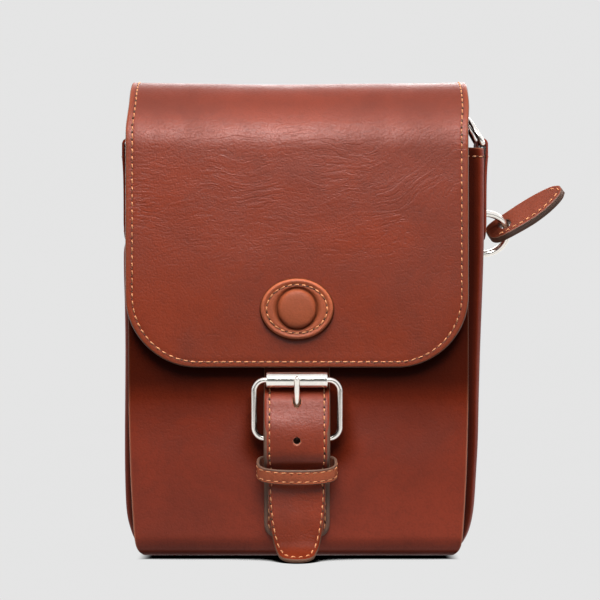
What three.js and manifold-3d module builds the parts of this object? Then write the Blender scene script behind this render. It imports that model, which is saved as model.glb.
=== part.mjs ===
// A small upright crossbody bag in leather: a wrapped body with soft sides, a flap that goes over
// the top, a strap and roller buckle on the front, and strap rings on both sides.
// Millimetres, +Z up. The front faces -Y, and the origin is under the middle of the base.
import * as THREE from "three";
import { mergeVertices } from "three/addons/utils/BufferGeometryUtils.js";
import Module from "manifold-3d";

// Clearance that neighbouring pieces keep
const GAP = 0.3;

// Body: one leather wall that is the front, the base and the back
const WRAP_WALL = 2.4;
const WRAP_FRONT_Y = -32.2;
const WRAP_BACK_Y = 35.1;
const WRAP_FRONT_TOP = 207;
const WRAP_BACK_TOP = 214;
const WRAP_BEND = 12;
const FRONT_BELLY = 1.5;
const FRONT_BELLY_Z = 58;
const FRONT_BELLY_REACH = 48;
const FRONT_BELLY_SIDE_FADE = 0.6;
// Heights where the rows of the wall change their spacing
const WRAP_PLAIN_END = 110;
const WRAP_BELLY_TOP = 98;
const WRAP_BELLY_LOW = 24;
const WRAP_COLUMNS = 8;
const BEND_STEPS = 6;
// The body sits a little to the right under the flap
const BODY_SHIFT = 0.8;
const BODY_SECTIONS = [
  { z: 0, halfWidth: 82.9 },
  { z: 2.4, halfWidth: 85 },
  { z: 5, halfWidth: 86.1 },
  { z: 9, halfWidth: 86.8 },
  { z: 13, halfWidth: 87.2 },
  { z: 20, halfWidth: 87.7 },
  { z: 30, halfWidth: 88.3 },
  { z: 47, halfWidth: 89.1 },
  { z: 87, halfWidth: 90 },
  { z: 214, halfWidth: 90 },
];

// Sides: how far the front lobe of each gusset stands out at each height
const GUSSET_WALL = 2.2;
const GUSSET_TOP = 218;
const GUSSET_INSET = 2.5;
const CREASE_DEPTH = 3;
const CREASE_FADE = { from: 14, to: 60 };
const CREASE_SLACK_SHARE = 0.5;
const REAR_LOBE_SHARE = 0.4;
const GUSSET_SECTIONS = [
  { z: 2.7, right: 82.8, left: 82.8 },
  { z: 5.5, right: 87, left: 86 },
  { z: 9.7, right: 89.6, left: 88.2 },
  { z: 14, right: 91.4, left: 89.8 },
  { z: 20, right: 92.9, left: 91.2 },
  { z: 28, right: 94, left: 92.1 },
  { z: 45, right: 95.1, left: 92.8 },
  { z: 61, right: 96, left: 92.9 },
  { z: 88, right: 96.7, left: 92.9 },
  { z: 115, right: 97.5, left: 92.9 },
  { z: 150, right: 98.9, left: 92.7 },
  { z: 170, right: 99.4, left: 92.4 },
  { z: GUSSET_TOP, right: 99.4, left: 92.4 },
];
// Rows between those of the table
const GUSSET_EXTRA_ROWS = [104, 132, 195];
// Folds of a gusset from front to back, as shares of its depth, with the steps up to each
const GUSSET_FOLDS = [
  { share: 0, form: "edge", steps: 0 },
  { share: 0.153, form: "lobe", steps: 4 },
  { share: 0.444, form: "lobe", steps: 2 },
  { share: 0.68, form: "crease", steps: 4 },
  { share: 0.86, form: "rear", steps: 3 },
  { share: 1, form: "edge", steps: 3 },
];

// Flap
const FLAP_WALL = 2.6;
const FLAP_HALF_WIDTH = 90.4;
const FLAP_RADIUS = 38;
const FLAP_SPRING_Z = 217.2;
const FLAP_TAIL_Z = 172;
const FLAP_END_Z = 101;
const FLAP_CORNER = 38;
const FLAP_BELLY = 0.6;
const FLAP_CROWN_DIP = 1;
// Heights where the straight runs of the flap begin and end, clear of the crown and the corners
const FLAP_TAIL_RUN_TOP = 206;
const FLAP_FRONT_RUN_TOP = 204;
const FLAP_CORNER_CLEAR = 8;
const FLAP_COLUMNS = 12;
const FLAP_CORNER_STEPS = 8;
const FLAP_CROWN_STEPS = 16;

// Badge on the flap: a stack of ovals, with the height of each over the flap
const BADGE_Z = 131.9;
const BADGE_OVALS = [
  { halfWidth: 19, halfHeight: 15.85, height: 0 },
  { halfWidth: 19, halfHeight: 15.85, height: 1.6 },
  { halfWidth: 18.2, halfHeight: 15.05, height: 2.1 },
  { halfWidth: 10.6, halfHeight: 10.9, height: 2 },
  { halfWidth: 9.9, halfHeight: 10.2, height: 2.9 },
  { halfWidth: 5, halfHeight: 5.2, height: 3.3 },
];
const BADGE_SIDES = 36;

// Straps on the front
const STRAP_HALF_WIDTH = 17.4;
const STRAP_WALL = 2.6;
const STRAP_TOP = 125;
const STRAP_STEPS = 36;
const STRAP_COLUMNS = 4;
const HOLE_SIDES = 12;
const STRAP_HOLE_RADIUS = 1.8;
const STRAP_HOLE_Z = 64;
const STRAP_ROUTE = [
  { z: STRAP_TOP, y: -33.85 },
  { z: 112, y: -33.85 },
  { z: 100, y: -33.9 },
  { z: 95, y: -34.1 },
  { z: 91.5, y: -34.9 },
  { z: 88, y: -38.7 },
  { z: 84.5, y: -42 },
  { z: 79, y: -43.8 },
  { z: 72, y: -45.6 },
  { z: 66, y: -46.4 },
  { z: 60.5, y: -46.6 },
  { z: 56.5, y: -46.3 },
  { z: 53, y: -44.8 },
  { z: 50, y: -42.5 },
  { z: 47, y: -40.9 },
  { z: 42, y: -40.2 },
  { z: 34, y: -40.5 },
  { z: 25, y: -41.2 },
  { z: 14, y: -42.3 },
  { z: 7.5, y: -44.2 },
  { z: 3.8, y: -47.4 },
  { z: 2.2, y: -51 },
  { z: 1.55, y: -54.5 },
];
// Half width of a strap end at each distance from its tip, as shares of the strap's own
const POINT_LENGTH = 60;
const POINT_SHARES = [
  { along: 0, width: 0.1 },
  { along: 0.02, width: 0.28 },
  { along: 0.072, width: 0.484 },
  { along: 0.135, width: 0.582 },
  { along: 0.217, width: 0.68 },
  { along: 0.36, width: 0.779 },
  { along: 0.513, width: 0.839 },
  { along: 0.663, width: 0.874 },
  { along: 0.767, width: 0.886 },
  { along: 0.9, width: 0.95 },
  { along: 1, width: 1 },
];

const BASE_STRAP_WALL = 2;
const BASE_STRAP_BACK_END = 56;
const BASE_STRAP_FOLD_GAP = 0.5;
const BASE_STRAP_STEPS = 32;
const BASE_STRAP_ROUTE = [
  { z: 58, y: -38.9 },
  { z: 53, y: -37.9 },
  { z: 46, y: -37.5 },
  { z: 36, y: -35.9 },
  { z: 27, y: -34.1 },
  { z: 20, y: -33.8 },
  { z: 10.8, y: -33.5 },
];
const BASE_POINT_LENGTH = 8;
const BASE_POINT_SHARES = [
  { along: 0, width: 0.6 },
  { along: 0.15, width: 0.8 },
  { along: 0.4, width: 0.92 },
  { along: 0.7, width: 0.98 },
  { along: 1, width: 1 },
];
const PRONG_SLOT_WIDTH = 4.6;
const PRONG_SLOT_MARGIN = 1.2;
const PRONG_SLOT_RISE = 1;

const KEEPER_WALL = 1.5;
const KEEPER_HEIGHT = 7.8;
const KEEPER_HALF_WIDTH = 20.4;
const KEEPER_FRONT = { y: -46, z: 43.9 };
const KEEPER_BACK = { y: -34.9, z: 51 };
const KEEPER_LEAN = THREE.MathUtils.degToRad(8);
const KEEPER_SQUARENESS = { front: 0.78, back: 0.42 };
const KEEPER_STEPS = 44;

// Buckle
const BUCKLE_WIRE = 1.45;
const BUCKLE_HALF_WIDTH = 22.55;
const BUCKLE_BAR = { y: -38, z: 63.9 };
const BUCKLE_TOP = { y: -40.3, z: 94.6 };
const BUCKLE_TOP_CORNER = 6;
const BUCKLE_LOW_CORNER = 5.8;
const ROLLER_RADIUS = 4.25;
const ROLLER_LENGTH = 32.4;
const ROLLER_BEVEL = 0.6;
const ROLLER_SIDES = 20;
const BUCKLE_STEPS = 46;
const PRONG_WIRE = 1.65;
const PRONG_TIP = { y: -47.45, z: 96.8 };
const PRONG_EYE_RADIUS = 3.4;
const PRONG_FOOT_OVERLAP = 0.8;
const PRONG_HOLE_RADIUS = 2.05;

// Strap rings and their tabs
const RING_WIRE = 1.6;
const RING_HALF_LENGTH = 11.6;
const RING_HEIGHT = 16.5;
const RING_CORNER = 3;
const RING_STEPS = 30;
const RING_Y = -11;
const RING_Z = 220.3;
const RING_INSET = 0.9;
const RING_LEAN = THREE.MathUtils.degToRad(30);
const TAB_WALL = 2;
const TAB_HALF_WIDTH = 8.5;
const TAB_OUTER_END = 169;
const TAB_INNER_END = 200;
const TAB_CORNER = 5;
const TAB_OUTER_ROWS = [TAB_OUTER_END, 170.5, 174, 190, 205, 213];
const TAB_INNER_START = 214.3;
const TAB_COLUMNS = 3;

// Pull on the right side: a ring through the hole of a stiff stitched tab
const PULL_RING_RADIUS = 13;
const PULL_WIRE = 1.9;
const PULL_RING_STEPS = 28;
const PULL_CENTRE = new THREE.Vector3(102.4, 13.5, 174.2);
const PULL_REACH = new THREE.Vector3(0.906, 0, 0.42).normalize();
const PULL_ALONG = new THREE.Vector3(-0.364, -0.5, 0.785).normalize();
const PULL_LOOP_WALL = 1.5;
const PULL_LOOP_LENGTH = 5;
const PULL_LOOP_STEM = 4.2;
const PULL_LOOP_SLACK = 0.5;
const PULL_TAB_WALL = 5;
const PULL_TAB_HALF_WIDTH = 8;
const PULL_TAB_BEHIND = 11;
const PULL_TAB_AHEAD = 37;
const PULL_TAB_RISE = THREE.MathUtils.degToRad(26);
const PULL_TAB_ROLL = THREE.MathUtils.degToRad(47);
const PULL_TAB_CURL = 3;
const PULL_TAB_COLUMNS = 6;
const PULL_HOLE_RADIUS = 3.4;
const PULL_TAB_SECTIONS = [
  { along: -1, width: 0.35 },
  { along: -0.93, width: 0.62 },
  { along: -0.75, width: 0.88 },
  { along: -0.4, width: 1 },
  { along: 0, width: 1 },
  { along: 0.35, width: 0.98 },
  { along: 0.6, width: 0.88 },
  { along: 0.8, width: 0.71 },
  { along: 0.93, width: 0.49 },
  { along: 1, width: 0.2 },
];

const WIRE_SIDES = 10;
const ARC_SEGMENTS = 10;

const leather = (color) => new THREE.MeshStandardMaterial({ color, roughness: 0.5, metalness: 0 });
const steel = () => new THREE.MeshStandardMaterial({ color: 0xc4beb6, roughness: 0.32, metalness: 1 });
const FLAP_COLOUR = 0x8b4235;
const BODY_COLOUR = 0x77332a;
const STRAP_COLOUR = 0x834030;
const BADGE_COLOUR = 0xa3583f;

const wasm = await Module();
wasm.setup();

// Value of a table's column at a place along it, eased through the rows on both sides
function columnAt(table, along, column, at) {
  const last = table.length - 1;
  const clamped = THREE.MathUtils.clamp(at, table[0][along], table[last][along]);
  let row = 0;
  while (row < last - 1 && clamped > table[row + 1][along]) {
    row += 1;
  }
  const slope = (i) => {
    const before = table[Math.max(i - 1, 0)];
    const after = table[Math.min(i + 1, last)];
    return (after[column] - before[column]) / (after[along] - before[along]);
  };
  const start = table[row];
  const end = table[row + 1];
  const span = end[along] - start[along];
  const t = (clamped - start[along]) / span;
  const bend = (1 - t) * slope(row) - t * slope(row + 1);
  const chord = (end[column] - start[column]) / span;
  return (
    THREE.MathUtils.lerp(start[column], end[column], t) +
    t * (1 - t) * span * (bend - (1 - 2 * t) * chord)
  );
}

// A closed triangle mesh from points and quads, turned so that its faces point out
function closedGeometry(points, quads) {
  const triangles = quads.flatMap(([a, b, c, d]) => [[a, b, c], [a, c, d]]);
  const volume = triangles.reduce(
    (sum, [a, b, c]) => sum + points[a].dot(points[b].clone().cross(points[c])),
    0,
  );
  const index = triangles.flatMap(([a, b, c]) => (volume > 0 ? [a, b, c] : [a, c, b]));
  const geometry = new THREE.BufferGeometry();
  geometry.setFromPoints(points);
  geometry.setIndex(index.filter((_, i) => !isFlat(index, i)));
  return geometry;
}

// True where the triangle that holds this index entry uses one point twice
function isFlat(index, entry) {
  const start = entry - (entry % 3);
  const corners = new Set(index.slice(start, start + 3));
  return corners.size < 3;
}

// A leather sheet: a grid of points on its outer face and the matching grid on its inner face
function sheetGeometry(outer, inner) {
  const rows = outer.length;
  const columns = outer[0].length;
  const points = [...outer.flat(), ...inner.flat()];
  const out = (i, j) => i * columns + j;
  const into = (i, j) => rows * columns + out(i, j);
  const quads = [];
  for (let i = 0; i < rows - 1; i += 1) {
    for (let j = 0; j < columns - 1; j += 1) {
      quads.push([out(i, j), out(i + 1, j), out(i + 1, j + 1), out(i, j + 1)]);
      quads.push([into(i, j), into(i, j + 1), into(i + 1, j + 1), into(i + 1, j)]);
    }
    quads.push([out(i, 0), into(i, 0), into(i + 1, 0), out(i + 1, 0)]);
    const end = columns - 1;
    quads.push([out(i, end), out(i + 1, end), into(i + 1, end), into(i, end)]);
  }
  for (let j = 0; j < columns - 1; j += 1) {
    quads.push([out(0, j), out(0, j + 1), into(0, j + 1), into(0, j)]);
    const end = rows - 1;
    quads.push([out(end, j), into(end, j), into(end, j + 1), out(end, j + 1)]);
  }
  return closedGeometry(points, quads);
}

// A strip of leather whose side view is a line of { p, q, half }: half is its half width there.
// The line runs with the outer face on its right, outerShare of the wall lies on that side,
// and place turns (across, p, q) into a point. lift moves a point along the strip's normal.
function stripGeometry(line, columns, wall, outerShare, place, lift = () => 0) {
  const normals = line.map((_, i) => {
    const ahead = line[Math.min(i + 1, line.length - 1)];
    const behind = line[Math.max(i - 1, 0)];
    const run = Math.hypot(ahead.p - behind.p, ahead.q - behind.q);
    return { p: (ahead.q - behind.q) / run, q: (behind.p - ahead.p) / run };
  });
  const face = (offset) =>
    line.map((point, i) =>
      Array.from({ length: columns + 1 }, (_, j) => {
        const share = (2 * j) / columns - 1;
        const reach = offset + lift(share, point);
        return place(
          share * point.half,
          point.p + normals[i].p * reach,
          point.q + normals[i].q * reach,
        );
      }),
    );
  return sheetGeometry(face(wall * outerShare), face(wall * (outerShare - 1)));
}

const acrossX = (across, p, q) => new THREE.Vector3(across, p, q);

// A ring of sections joined into a closed tube, or capped at both ends
function loftGeometry(sections, closed) {
  const sides = sections[0].length;
  const count = sections.length;
  const points = sections.flat();
  const at = (i, j) => (i % count) * sides + (j % sides);
  const quads = [];
  for (let i = 0; i < (closed ? count : count - 1); i += 1) {
    for (let j = 0; j < sides; j += 1) {
      quads.push([at(i, j), at(i + 1, j), at(i + 1, j + 1), at(i, j + 1)]);
    }
  }
  if (!closed) {
    const middle = (section) =>
      section.reduce((sum, point) => sum.add(point), new THREE.Vector3()).divideScalar(sides);
    const first = points.push(middle(sections[0])) - 1;
    const last = points.push(middle(sections[count - 1])) - 1;
    for (let j = 0; j < sides; j += 1) {
      quads.push([first, at(0, j), at(0, j + 1), first]);
      quads.push([last, at(count - 1, j + 1), at(count - 1, j), last]);
    }
  }
  return closedGeometry(points, quads);
}

// A round wire bent along a closed path of 2D points; right and up span the path's plane
function ringGeometry(path, centre, right, up, radius) {
  const facing = right.clone().cross(up);
  const onPlane = (point) =>
    centre.clone().addScaledVector(right, point.x).addScaledVector(up, point.y);
  const sections = path.map((point, i) => {
    const ahead = onPlane(path[(i + 1) % path.length]);
    const behind = onPlane(path[(i + path.length - 1) % path.length]);
    const sideways = ahead.sub(behind).normalize().cross(facing);
    return Array.from({ length: WIRE_SIDES }, (_, j) => {
      const angle = (2 * Math.PI * j) / WIRE_SIDES;
      return onPlane(point)
        .addScaledVector(sideways, radius * Math.cos(angle))
        .addScaledVector(facing, radius * Math.sin(angle));
    });
  });
  return loftGeometry(sections, true);
}

// Evenly spaced points of a closed 2D path, without the repeated last one
const spaced = (path, count) => path.getSpacedPoints(count).slice(0, count);

function solidOf(geometry) {
  const bare = geometry.clone();
  bare.deleteAttribute("normal");
  bare.deleteAttribute("uv");
  const merged = mergeVertices(bare, 1e-4);
  return new wasm.Manifold(
    new wasm.Mesh({
      numProp: 3,
      vertProperties: new Float32Array(merged.attributes.position.array),
      triVerts: new Uint32Array(merged.index.array),
    }),
  );
}

function geometryOf(solid) {
  const { vertProperties, triVerts } = solid.getMesh();
  const geometry = new THREE.BufferGeometry();
  geometry.setAttribute("position", new THREE.BufferAttribute(vertProperties, 3));
  geometry.setIndex(new THREE.BufferAttribute(triVerts, 1));
  return geometry;
}

const cut = (geometry, tool) => geometryOf(solidOf(geometry).subtract(solidOf(tool)));
const join = (geometry, other) => geometryOf(solidOf(geometry).add(solidOf(other)));

function piece(name, geometry, material) {
  geometry.computeVertexNormals();
  const mesh = new THREE.Mesh(geometry, material);
  mesh.name = name;
  return mesh;
}

// A straight rod between two points, for pins and punched holes
function rodBetween(from, to, radius, sides) {
  const along = to.clone().sub(from);
  const rod = new THREE.CylinderGeometry(radius, radius, along.length(), sides);
  const turn = new THREE.Quaternion().setFromUnitVectors(
    new THREE.Vector3(0, 1, 0),
    along.clone().normalize(),
  );
  rod.applyQuaternion(turn);
  const middle = from.clone().lerp(to, 0.5);
  return rod.translate(middle.x, middle.y, middle.z);
}

// How far the stuffed front stands out at a height, and how that fades towards the sides
function frontBelly(z) {
  const reach = (z - FRONT_BELLY_Z) / FRONT_BELLY_REACH;
  return Math.abs(reach) < 1 ? FRONT_BELLY * Math.cos((reach * Math.PI) / 2) ** 2 : 0;
}
const bellyShare = (share) => 1 - FRONT_BELLY_SIDE_FADE * share * share;

const bodyHalfWidth = (z) => columnAt(BODY_SECTIONS, "z", "halfWidth", z);

// Points of an arc in the side view, from one angle to another
function arcPoints(centre, radius, from, to, steps) {
  return Array.from({ length: steps + 1 }, (_, i) => {
    const angle = THREE.MathUtils.degToRad(THREE.MathUtils.lerp(from, to, i / steps));
    return { p: centre.p + radius * Math.cos(angle), q: centre.q + radius * Math.sin(angle) };
  });
}

// Points at even steps of a straight run in the side view
function runPoints(from, to, steps) {
  return Array.from({ length: steps + 1 }, (_, i) => ({
    p: THREE.MathUtils.lerp(from.p, to.p, i / steps),
    q: THREE.MathUtils.lerp(from.q, to.q, i / steps),
  }));
}

function bodyWrap() {
  const frontBend = { p: WRAP_FRONT_Y + WRAP_BEND, q: WRAP_BEND };
  const backBend = { p: WRAP_BACK_Y - WRAP_BEND, q: WRAP_BEND };
  const line = [
    ...runPoints({ p: WRAP_FRONT_Y, q: WRAP_FRONT_TOP }, { p: WRAP_FRONT_Y, q: WRAP_PLAIN_END }, 3),
    ...runPoints({ p: WRAP_FRONT_Y, q: WRAP_BELLY_TOP }, { p: WRAP_FRONT_Y, q: WRAP_BELLY_LOW }, 6),
    ...arcPoints(frontBend, WRAP_BEND, 180, 270, BEND_STEPS),
    ...arcPoints(backBend, WRAP_BEND, 270, 360, BEND_STEPS),
    ...runPoints({ p: WRAP_BACK_Y, q: WRAP_BELLY_LOW }, { p: WRAP_BACK_Y, q: WRAP_BACK_TOP }, 5),
  ].map((point) => ({ ...point, half: bodyHalfWidth(point.q) }));
  const lift = (share, point) => (point.p < 0 ? frontBelly(point.q) * bellyShare(share) : 0);
  const wall = stripGeometry(line, WRAP_COLUMNS, WRAP_WALL, 0, acrossX, lift);
  return piece("body_wrap", wall, leather(BODY_COLOUR));
}

// Depth range that a gusset fills between the front and back walls at a height
function gussetDepth(z) {
  const clear = WRAP_WALL + GAP;
  const bend = WRAP_BEND - clear;
  const below = Math.max(WRAP_BEND - z, 0);
  const tuck = bend - Math.sqrt(Math.max(bend * bend - below * below, 0));
  return {
    front: WRAP_FRONT_Y + clear - frontBelly(z) * bellyShare(1) + tuck,
    back: WRAP_BACK_Y - clear - tuck,
  };
}

// Distance of a gusset's outer face from the middle of the bag, at a height and a fold
function gussetReach(side, z, form) {
  const edge = bodyHalfWidth(z) - GUSSET_INSET;
  const lobe = columnAt(GUSSET_SECTIONS, "z", side, z);
  const rear = THREE.MathUtils.lerp(edge, lobe, REAR_LOBE_SHARE);
  const slack = THREE.MathUtils.lerp(lobe, rear, CREASE_SLACK_SHARE);
  const fade = THREE.MathUtils.smoothstep(z, CREASE_FADE.from, CREASE_FADE.to);
  const crease = THREE.MathUtils.lerp(slack, edge - CREASE_DEPTH, fade);
  return { edge, lobe, rear, crease }[form];
}

// Points across a gusset at a height, eased from fold to fold
function gussetSection(side, z) {
  const depth = gussetDepth(z);
  const points = [];
  GUSSET_FOLDS.forEach((fold, i) => {
    const before = GUSSET_FOLDS[Math.max(i - 1, 0)];
    for (let step = i === 0 ? 0 : 1; step <= fold.steps; step += 1) {
      const t = fold.steps ? step / fold.steps : 0;
      const eased = (1 - Math.cos(Math.PI * t)) / 2;
      const from = gussetReach(side, z, before.form);
      const to = gussetReach(side, z, fold.form);
      const share = THREE.MathUtils.lerp(before.share, fold.share, t);
      points.push(
        new THREE.Vector3(
          THREE.MathUtils.lerp(from, to, eased),
          THREE.MathUtils.lerp(depth.front, depth.back, share),
          z,
        ),
      );
    }
  });
  return points;
}

function gusset(side, sign) {
  const heights = [...GUSSET_SECTIONS.map((row) => row.z), ...GUSSET_EXTRA_ROWS].sort((a, b) => a - b);
  const outer = heights.map((z) => gussetSection(side, z));
  const inner = outer.map((row, i) =>
    row.map((point, j) => {
      const up = outer[Math.min(i + 1, outer.length - 1)][j].clone();
      up.sub(outer[Math.max(i - 1, 0)][j]);
      const back = row[Math.min(j + 1, row.length - 1)].clone();
      back.sub(row[Math.max(j - 1, 0)]);
      if (j === 0 || j === row.length - 1) {
        back.setX(0);
      }
      const outwards = back.cross(up).normalize();
      return point.clone().addScaledVector(outwards, -GUSSET_WALL);
    }),
  );
  const mirrored = (grid) => grid.map((row) => row.map((point) => point.setX(sign * point.x)));
  return piece(`${side}_gusset`, sheetGeometry(mirrored(outer), mirrored(inner)), leather(BODY_COLOUR));
}

function flap() {
  const crown = { p: 0, q: FLAP_SPRING_Z };
  const straightEnd = FLAP_END_Z + FLAP_CORNER;
  const corner = Array.from({ length: FLAP_CORNER_STEPS + 1 }, (_, i) => {
    const angle = (i / FLAP_CORNER_STEPS) * (Math.PI / 2);
    return {
      p: -FLAP_RADIUS,
      q: straightEnd - FLAP_CORNER * Math.sin(angle),
      half: FLAP_HALF_WIDTH - FLAP_CORNER * (1 - Math.cos(angle)),
    };
  });
  const line = [
    ...runPoints({ p: FLAP_RADIUS, q: FLAP_TAIL_Z }, { p: FLAP_RADIUS, q: FLAP_TAIL_RUN_TOP }, 2),
    ...arcPoints(crown, FLAP_RADIUS, 0, 180, FLAP_CROWN_STEPS),
    ...runPoints(
      { p: -FLAP_RADIUS, q: FLAP_FRONT_RUN_TOP },
      { p: -FLAP_RADIUS, q: straightEnd + FLAP_CORNER_CLEAR },
      4,
    ),
  ].map((point) => ({ ...point, half: FLAP_HALF_WIDTH }));
  const lift = (share, point) => {
    const over = Math.max(point.q - FLAP_SPRING_Z, 0) / FLAP_RADIUS;
    const down = THREE.MathUtils.clamp((FLAP_SPRING_Z - point.q) / (FLAP_SPRING_Z - FLAP_END_Z), 0, 1);
    const belly = point.p < 0 ? FLAP_BELLY * Math.sin(Math.PI * down) : 0;
    return belly - FLAP_CROWN_DIP * over * (1 - share * share);
  };
  const sheet = stripGeometry([...line, ...corner], FLAP_COLUMNS, FLAP_WALL, 0, acrossX, lift);
  return piece("flap", sheet, leather(FLAP_COLOUR));
}

function badge() {
  const back = -(FLAP_RADIUS + FLAP_BELLY + GAP);
  const sections = BADGE_OVALS.map((oval) =>
    Array.from({ length: BADGE_SIDES }, (_, j) => {
      const angle = (2 * Math.PI * j) / BADGE_SIDES;
      return new THREE.Vector3(
        oval.halfWidth * Math.cos(angle),
        back - oval.height,
        BADGE_Z + oval.halfHeight * Math.sin(angle),
      );
    }),
  );
  return piece("badge", loftGeometry(sections, false), leather(BADGE_COLOUR));
}

// Points of a strap's side view from its route, with the width drawn in towards the pointed end
function strapLine(curve, steps, pointLength, pointShares) {
  const points = curve.getSpacedPoints(steps);
  const length = curve.getLength();
  return points.map((point, i) => {
    const fromTip = (length * (steps - i)) / steps;
    const share = columnAt(pointShares, "along", "width", fromTip / pointLength);
    return { p: point.x, q: point.y, half: STRAP_HALF_WIDTH * Math.min(share, 1) };
  });
}

const routeCurve = (route) =>
  new THREE.SplineCurve(route.map((point) => new THREE.Vector2(point.y, point.z)));

const prongStart = new THREE.Vector3(0, BUCKLE_BAR.y, BUCKLE_BAR.z);
const prongEnd = new THREE.Vector3(0, PRONG_TIP.y, PRONG_TIP.z);

function closureStrap() {
  const line = strapLine(routeCurve(STRAP_ROUTE), STRAP_STEPS, POINT_LENGTH, POINT_SHARES);
  const strap = stripGeometry(line, STRAP_COLUMNS, STRAP_WALL, 0.5, acrossX);
  const prongHole = rodBetween(prongStart, prongEnd, PRONG_HOLE_RADIUS, HOLE_SIDES);
  const spareHole = rodBetween(
    new THREE.Vector3(0, WRAP_FRONT_Y, STRAP_HOLE_Z),
    new THREE.Vector3(0, PRONG_TIP.y - STRAP_WALL, STRAP_HOLE_Z),
    STRAP_HOLE_RADIUS,
    HOLE_SIDES,
  );
  return piece("closure_strap", cut(cut(strap, prongHole), spareHole), leather(STRAP_COLOUR));
}

// The base strap: up behind the buckle's bar, round it, and down the front to its own point
function buckleBaseStrap() {
  const fold = BUCKLE_WIRE + BASE_STRAP_FOLD_GAP + BASE_STRAP_WALL / 2;
  const bar = { p: BUCKLE_BAR.y, q: BUCKLE_BAR.z };
  const round = arcPoints(bar, fold, 0, 180, 8).map(({ p, q }) => ({ y: p, z: q }));
  const route = [{ y: bar.p + fold, z: BASE_STRAP_BACK_END }, ...round, ...BASE_STRAP_ROUTE];
  const line = strapLine(routeCurve(route), BASE_STRAP_STEPS, BASE_POINT_LENGTH, BASE_POINT_SHARES);
  const strap = stripGeometry(line, STRAP_COLUMNS, BASE_STRAP_WALL, 0.5, acrossX);
  const slotHeight = 2 * (PRONG_EYE_RADIUS + PRONG_SLOT_MARGIN);
  const slot = new THREE.BoxGeometry(PRONG_SLOT_WIDTH, 4 * fold, slotHeight);
  slot.translate(0, BUCKLE_BAR.y, BUCKLE_BAR.z + PRONG_SLOT_RISE);
  return piece("buckle_base_strap", cut(strap, slot), leather(STRAP_COLOUR));
}

// The keeper: a band that is upright behind the straps and leans forward in front of them
function keeperLoop() {
  const middleY = (KEEPER_FRONT.y + KEEPER_BACK.y) / 2;
  const halfDepth = (KEEPER_BACK.y - KEEPER_FRONT.y) / 2;
  const rounded = (value, squareness) => Math.sign(value) * Math.abs(value) ** squareness;
  const spine = Array.from({ length: KEEPER_STEPS }, (_, i) => {
    const angle = (2 * Math.PI * i) / KEEPER_STEPS;
    const squareness = Math.sin(angle) < 0 ? KEEPER_SQUARENESS.front : KEEPER_SQUARENESS.back;
    const towardsBack = rounded(Math.sin(angle), squareness);
    return new THREE.Vector3(
      KEEPER_HALF_WIDTH * rounded(Math.cos(angle), squareness),
      middleY + halfDepth * towardsBack,
      THREE.MathUtils.lerp(KEEPER_FRONT.z, KEEPER_BACK.z, (towardsBack + 1) / 2),
    );
  });
  const sections = spine.map((point, i) => {
    const ahead = spine[(i + 1) % KEEPER_STEPS].clone();
    const along = ahead.sub(spine[(i + KEEPER_STEPS - 1) % KEEPER_STEPS]).normalize();
    const front = (KEEPER_BACK.y - point.y) / (2 * halfDepth);
    const lean = KEEPER_LEAN * front;
    const up = new THREE.Vector3(0, -Math.sin(lean), Math.cos(lean));
    const outwards = along.clone().cross(up).normalize();
    const corner = (out, high) =>
      point
        .clone()
        .addScaledVector(outwards, (out * KEEPER_WALL) / 2)
        .addScaledVector(up, (high * KEEPER_HEIGHT) / 2);
    return [corner(1, -1), corner(1, 1), corner(-1, 1), corner(-1, -1)];
  });
  return piece("keeper_loop", loftGeometry(sections, true), leather(STRAP_COLOUR));
}

const sideways = new THREE.Vector3(1, 0, 0);

function buckleFrame() {
  const low = new THREE.Vector3(0, BUCKLE_BAR.y, BUCKLE_BAR.z);
  const up = new THREE.Vector3(0, BUCKLE_TOP.y, BUCKLE_TOP.z).sub(low);
  const height = up.length();
  const path = new THREE.Path();
  path.moveTo(0, 0);
  path.lineTo(BUCKLE_HALF_WIDTH - BUCKLE_LOW_CORNER, 0);
  path.absarc(BUCKLE_HALF_WIDTH - BUCKLE_LOW_CORNER, BUCKLE_LOW_CORNER, BUCKLE_LOW_CORNER, -Math.PI / 2, 0);
  const topX = BUCKLE_HALF_WIDTH - BUCKLE_TOP_CORNER;
  const topY = height - BUCKLE_TOP_CORNER;
  path.absarc(topX, topY, BUCKLE_TOP_CORNER, 0, Math.PI / 2);
  path.absarc(-topX, topY, BUCKLE_TOP_CORNER, Math.PI / 2, Math.PI);
  path.absarc(
    BUCKLE_LOW_CORNER - BUCKLE_HALF_WIDTH,
    BUCKLE_LOW_CORNER,
    BUCKLE_LOW_CORNER,
    Math.PI,
    1.5 * Math.PI,
  );
  path.lineTo(0, 0);
  const geometry = ringGeometry(spaced(path, BUCKLE_STEPS), low, sideways, up.normalize(), BUCKLE_WIRE);
  return piece("buckle_frame", geometry, steel());
}

function buckleRoller() {
  const bore = BUCKLE_WIRE + GAP;
  const half = ROLLER_LENGTH / 2;
  const outline = [
    [bore, -half],
    [ROLLER_RADIUS - ROLLER_BEVEL, -half],
    [ROLLER_RADIUS, ROLLER_BEVEL - half],
    [ROLLER_RADIUS, half - ROLLER_BEVEL],
    [ROLLER_RADIUS - ROLLER_BEVEL, half],
    [bore, half],
    [bore, -half],
  ].map(([radius, along]) => new THREE.Vector2(radius, along));
  const roller = piece("buckle_roller", new THREE.LatheGeometry(outline, ROLLER_SIDES), steel());
  roller.rotation.z = -Math.PI / 2;
  roller.position.set(0, BUCKLE_TOP.y, BUCKLE_TOP.z);
  return roller;
}

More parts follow.
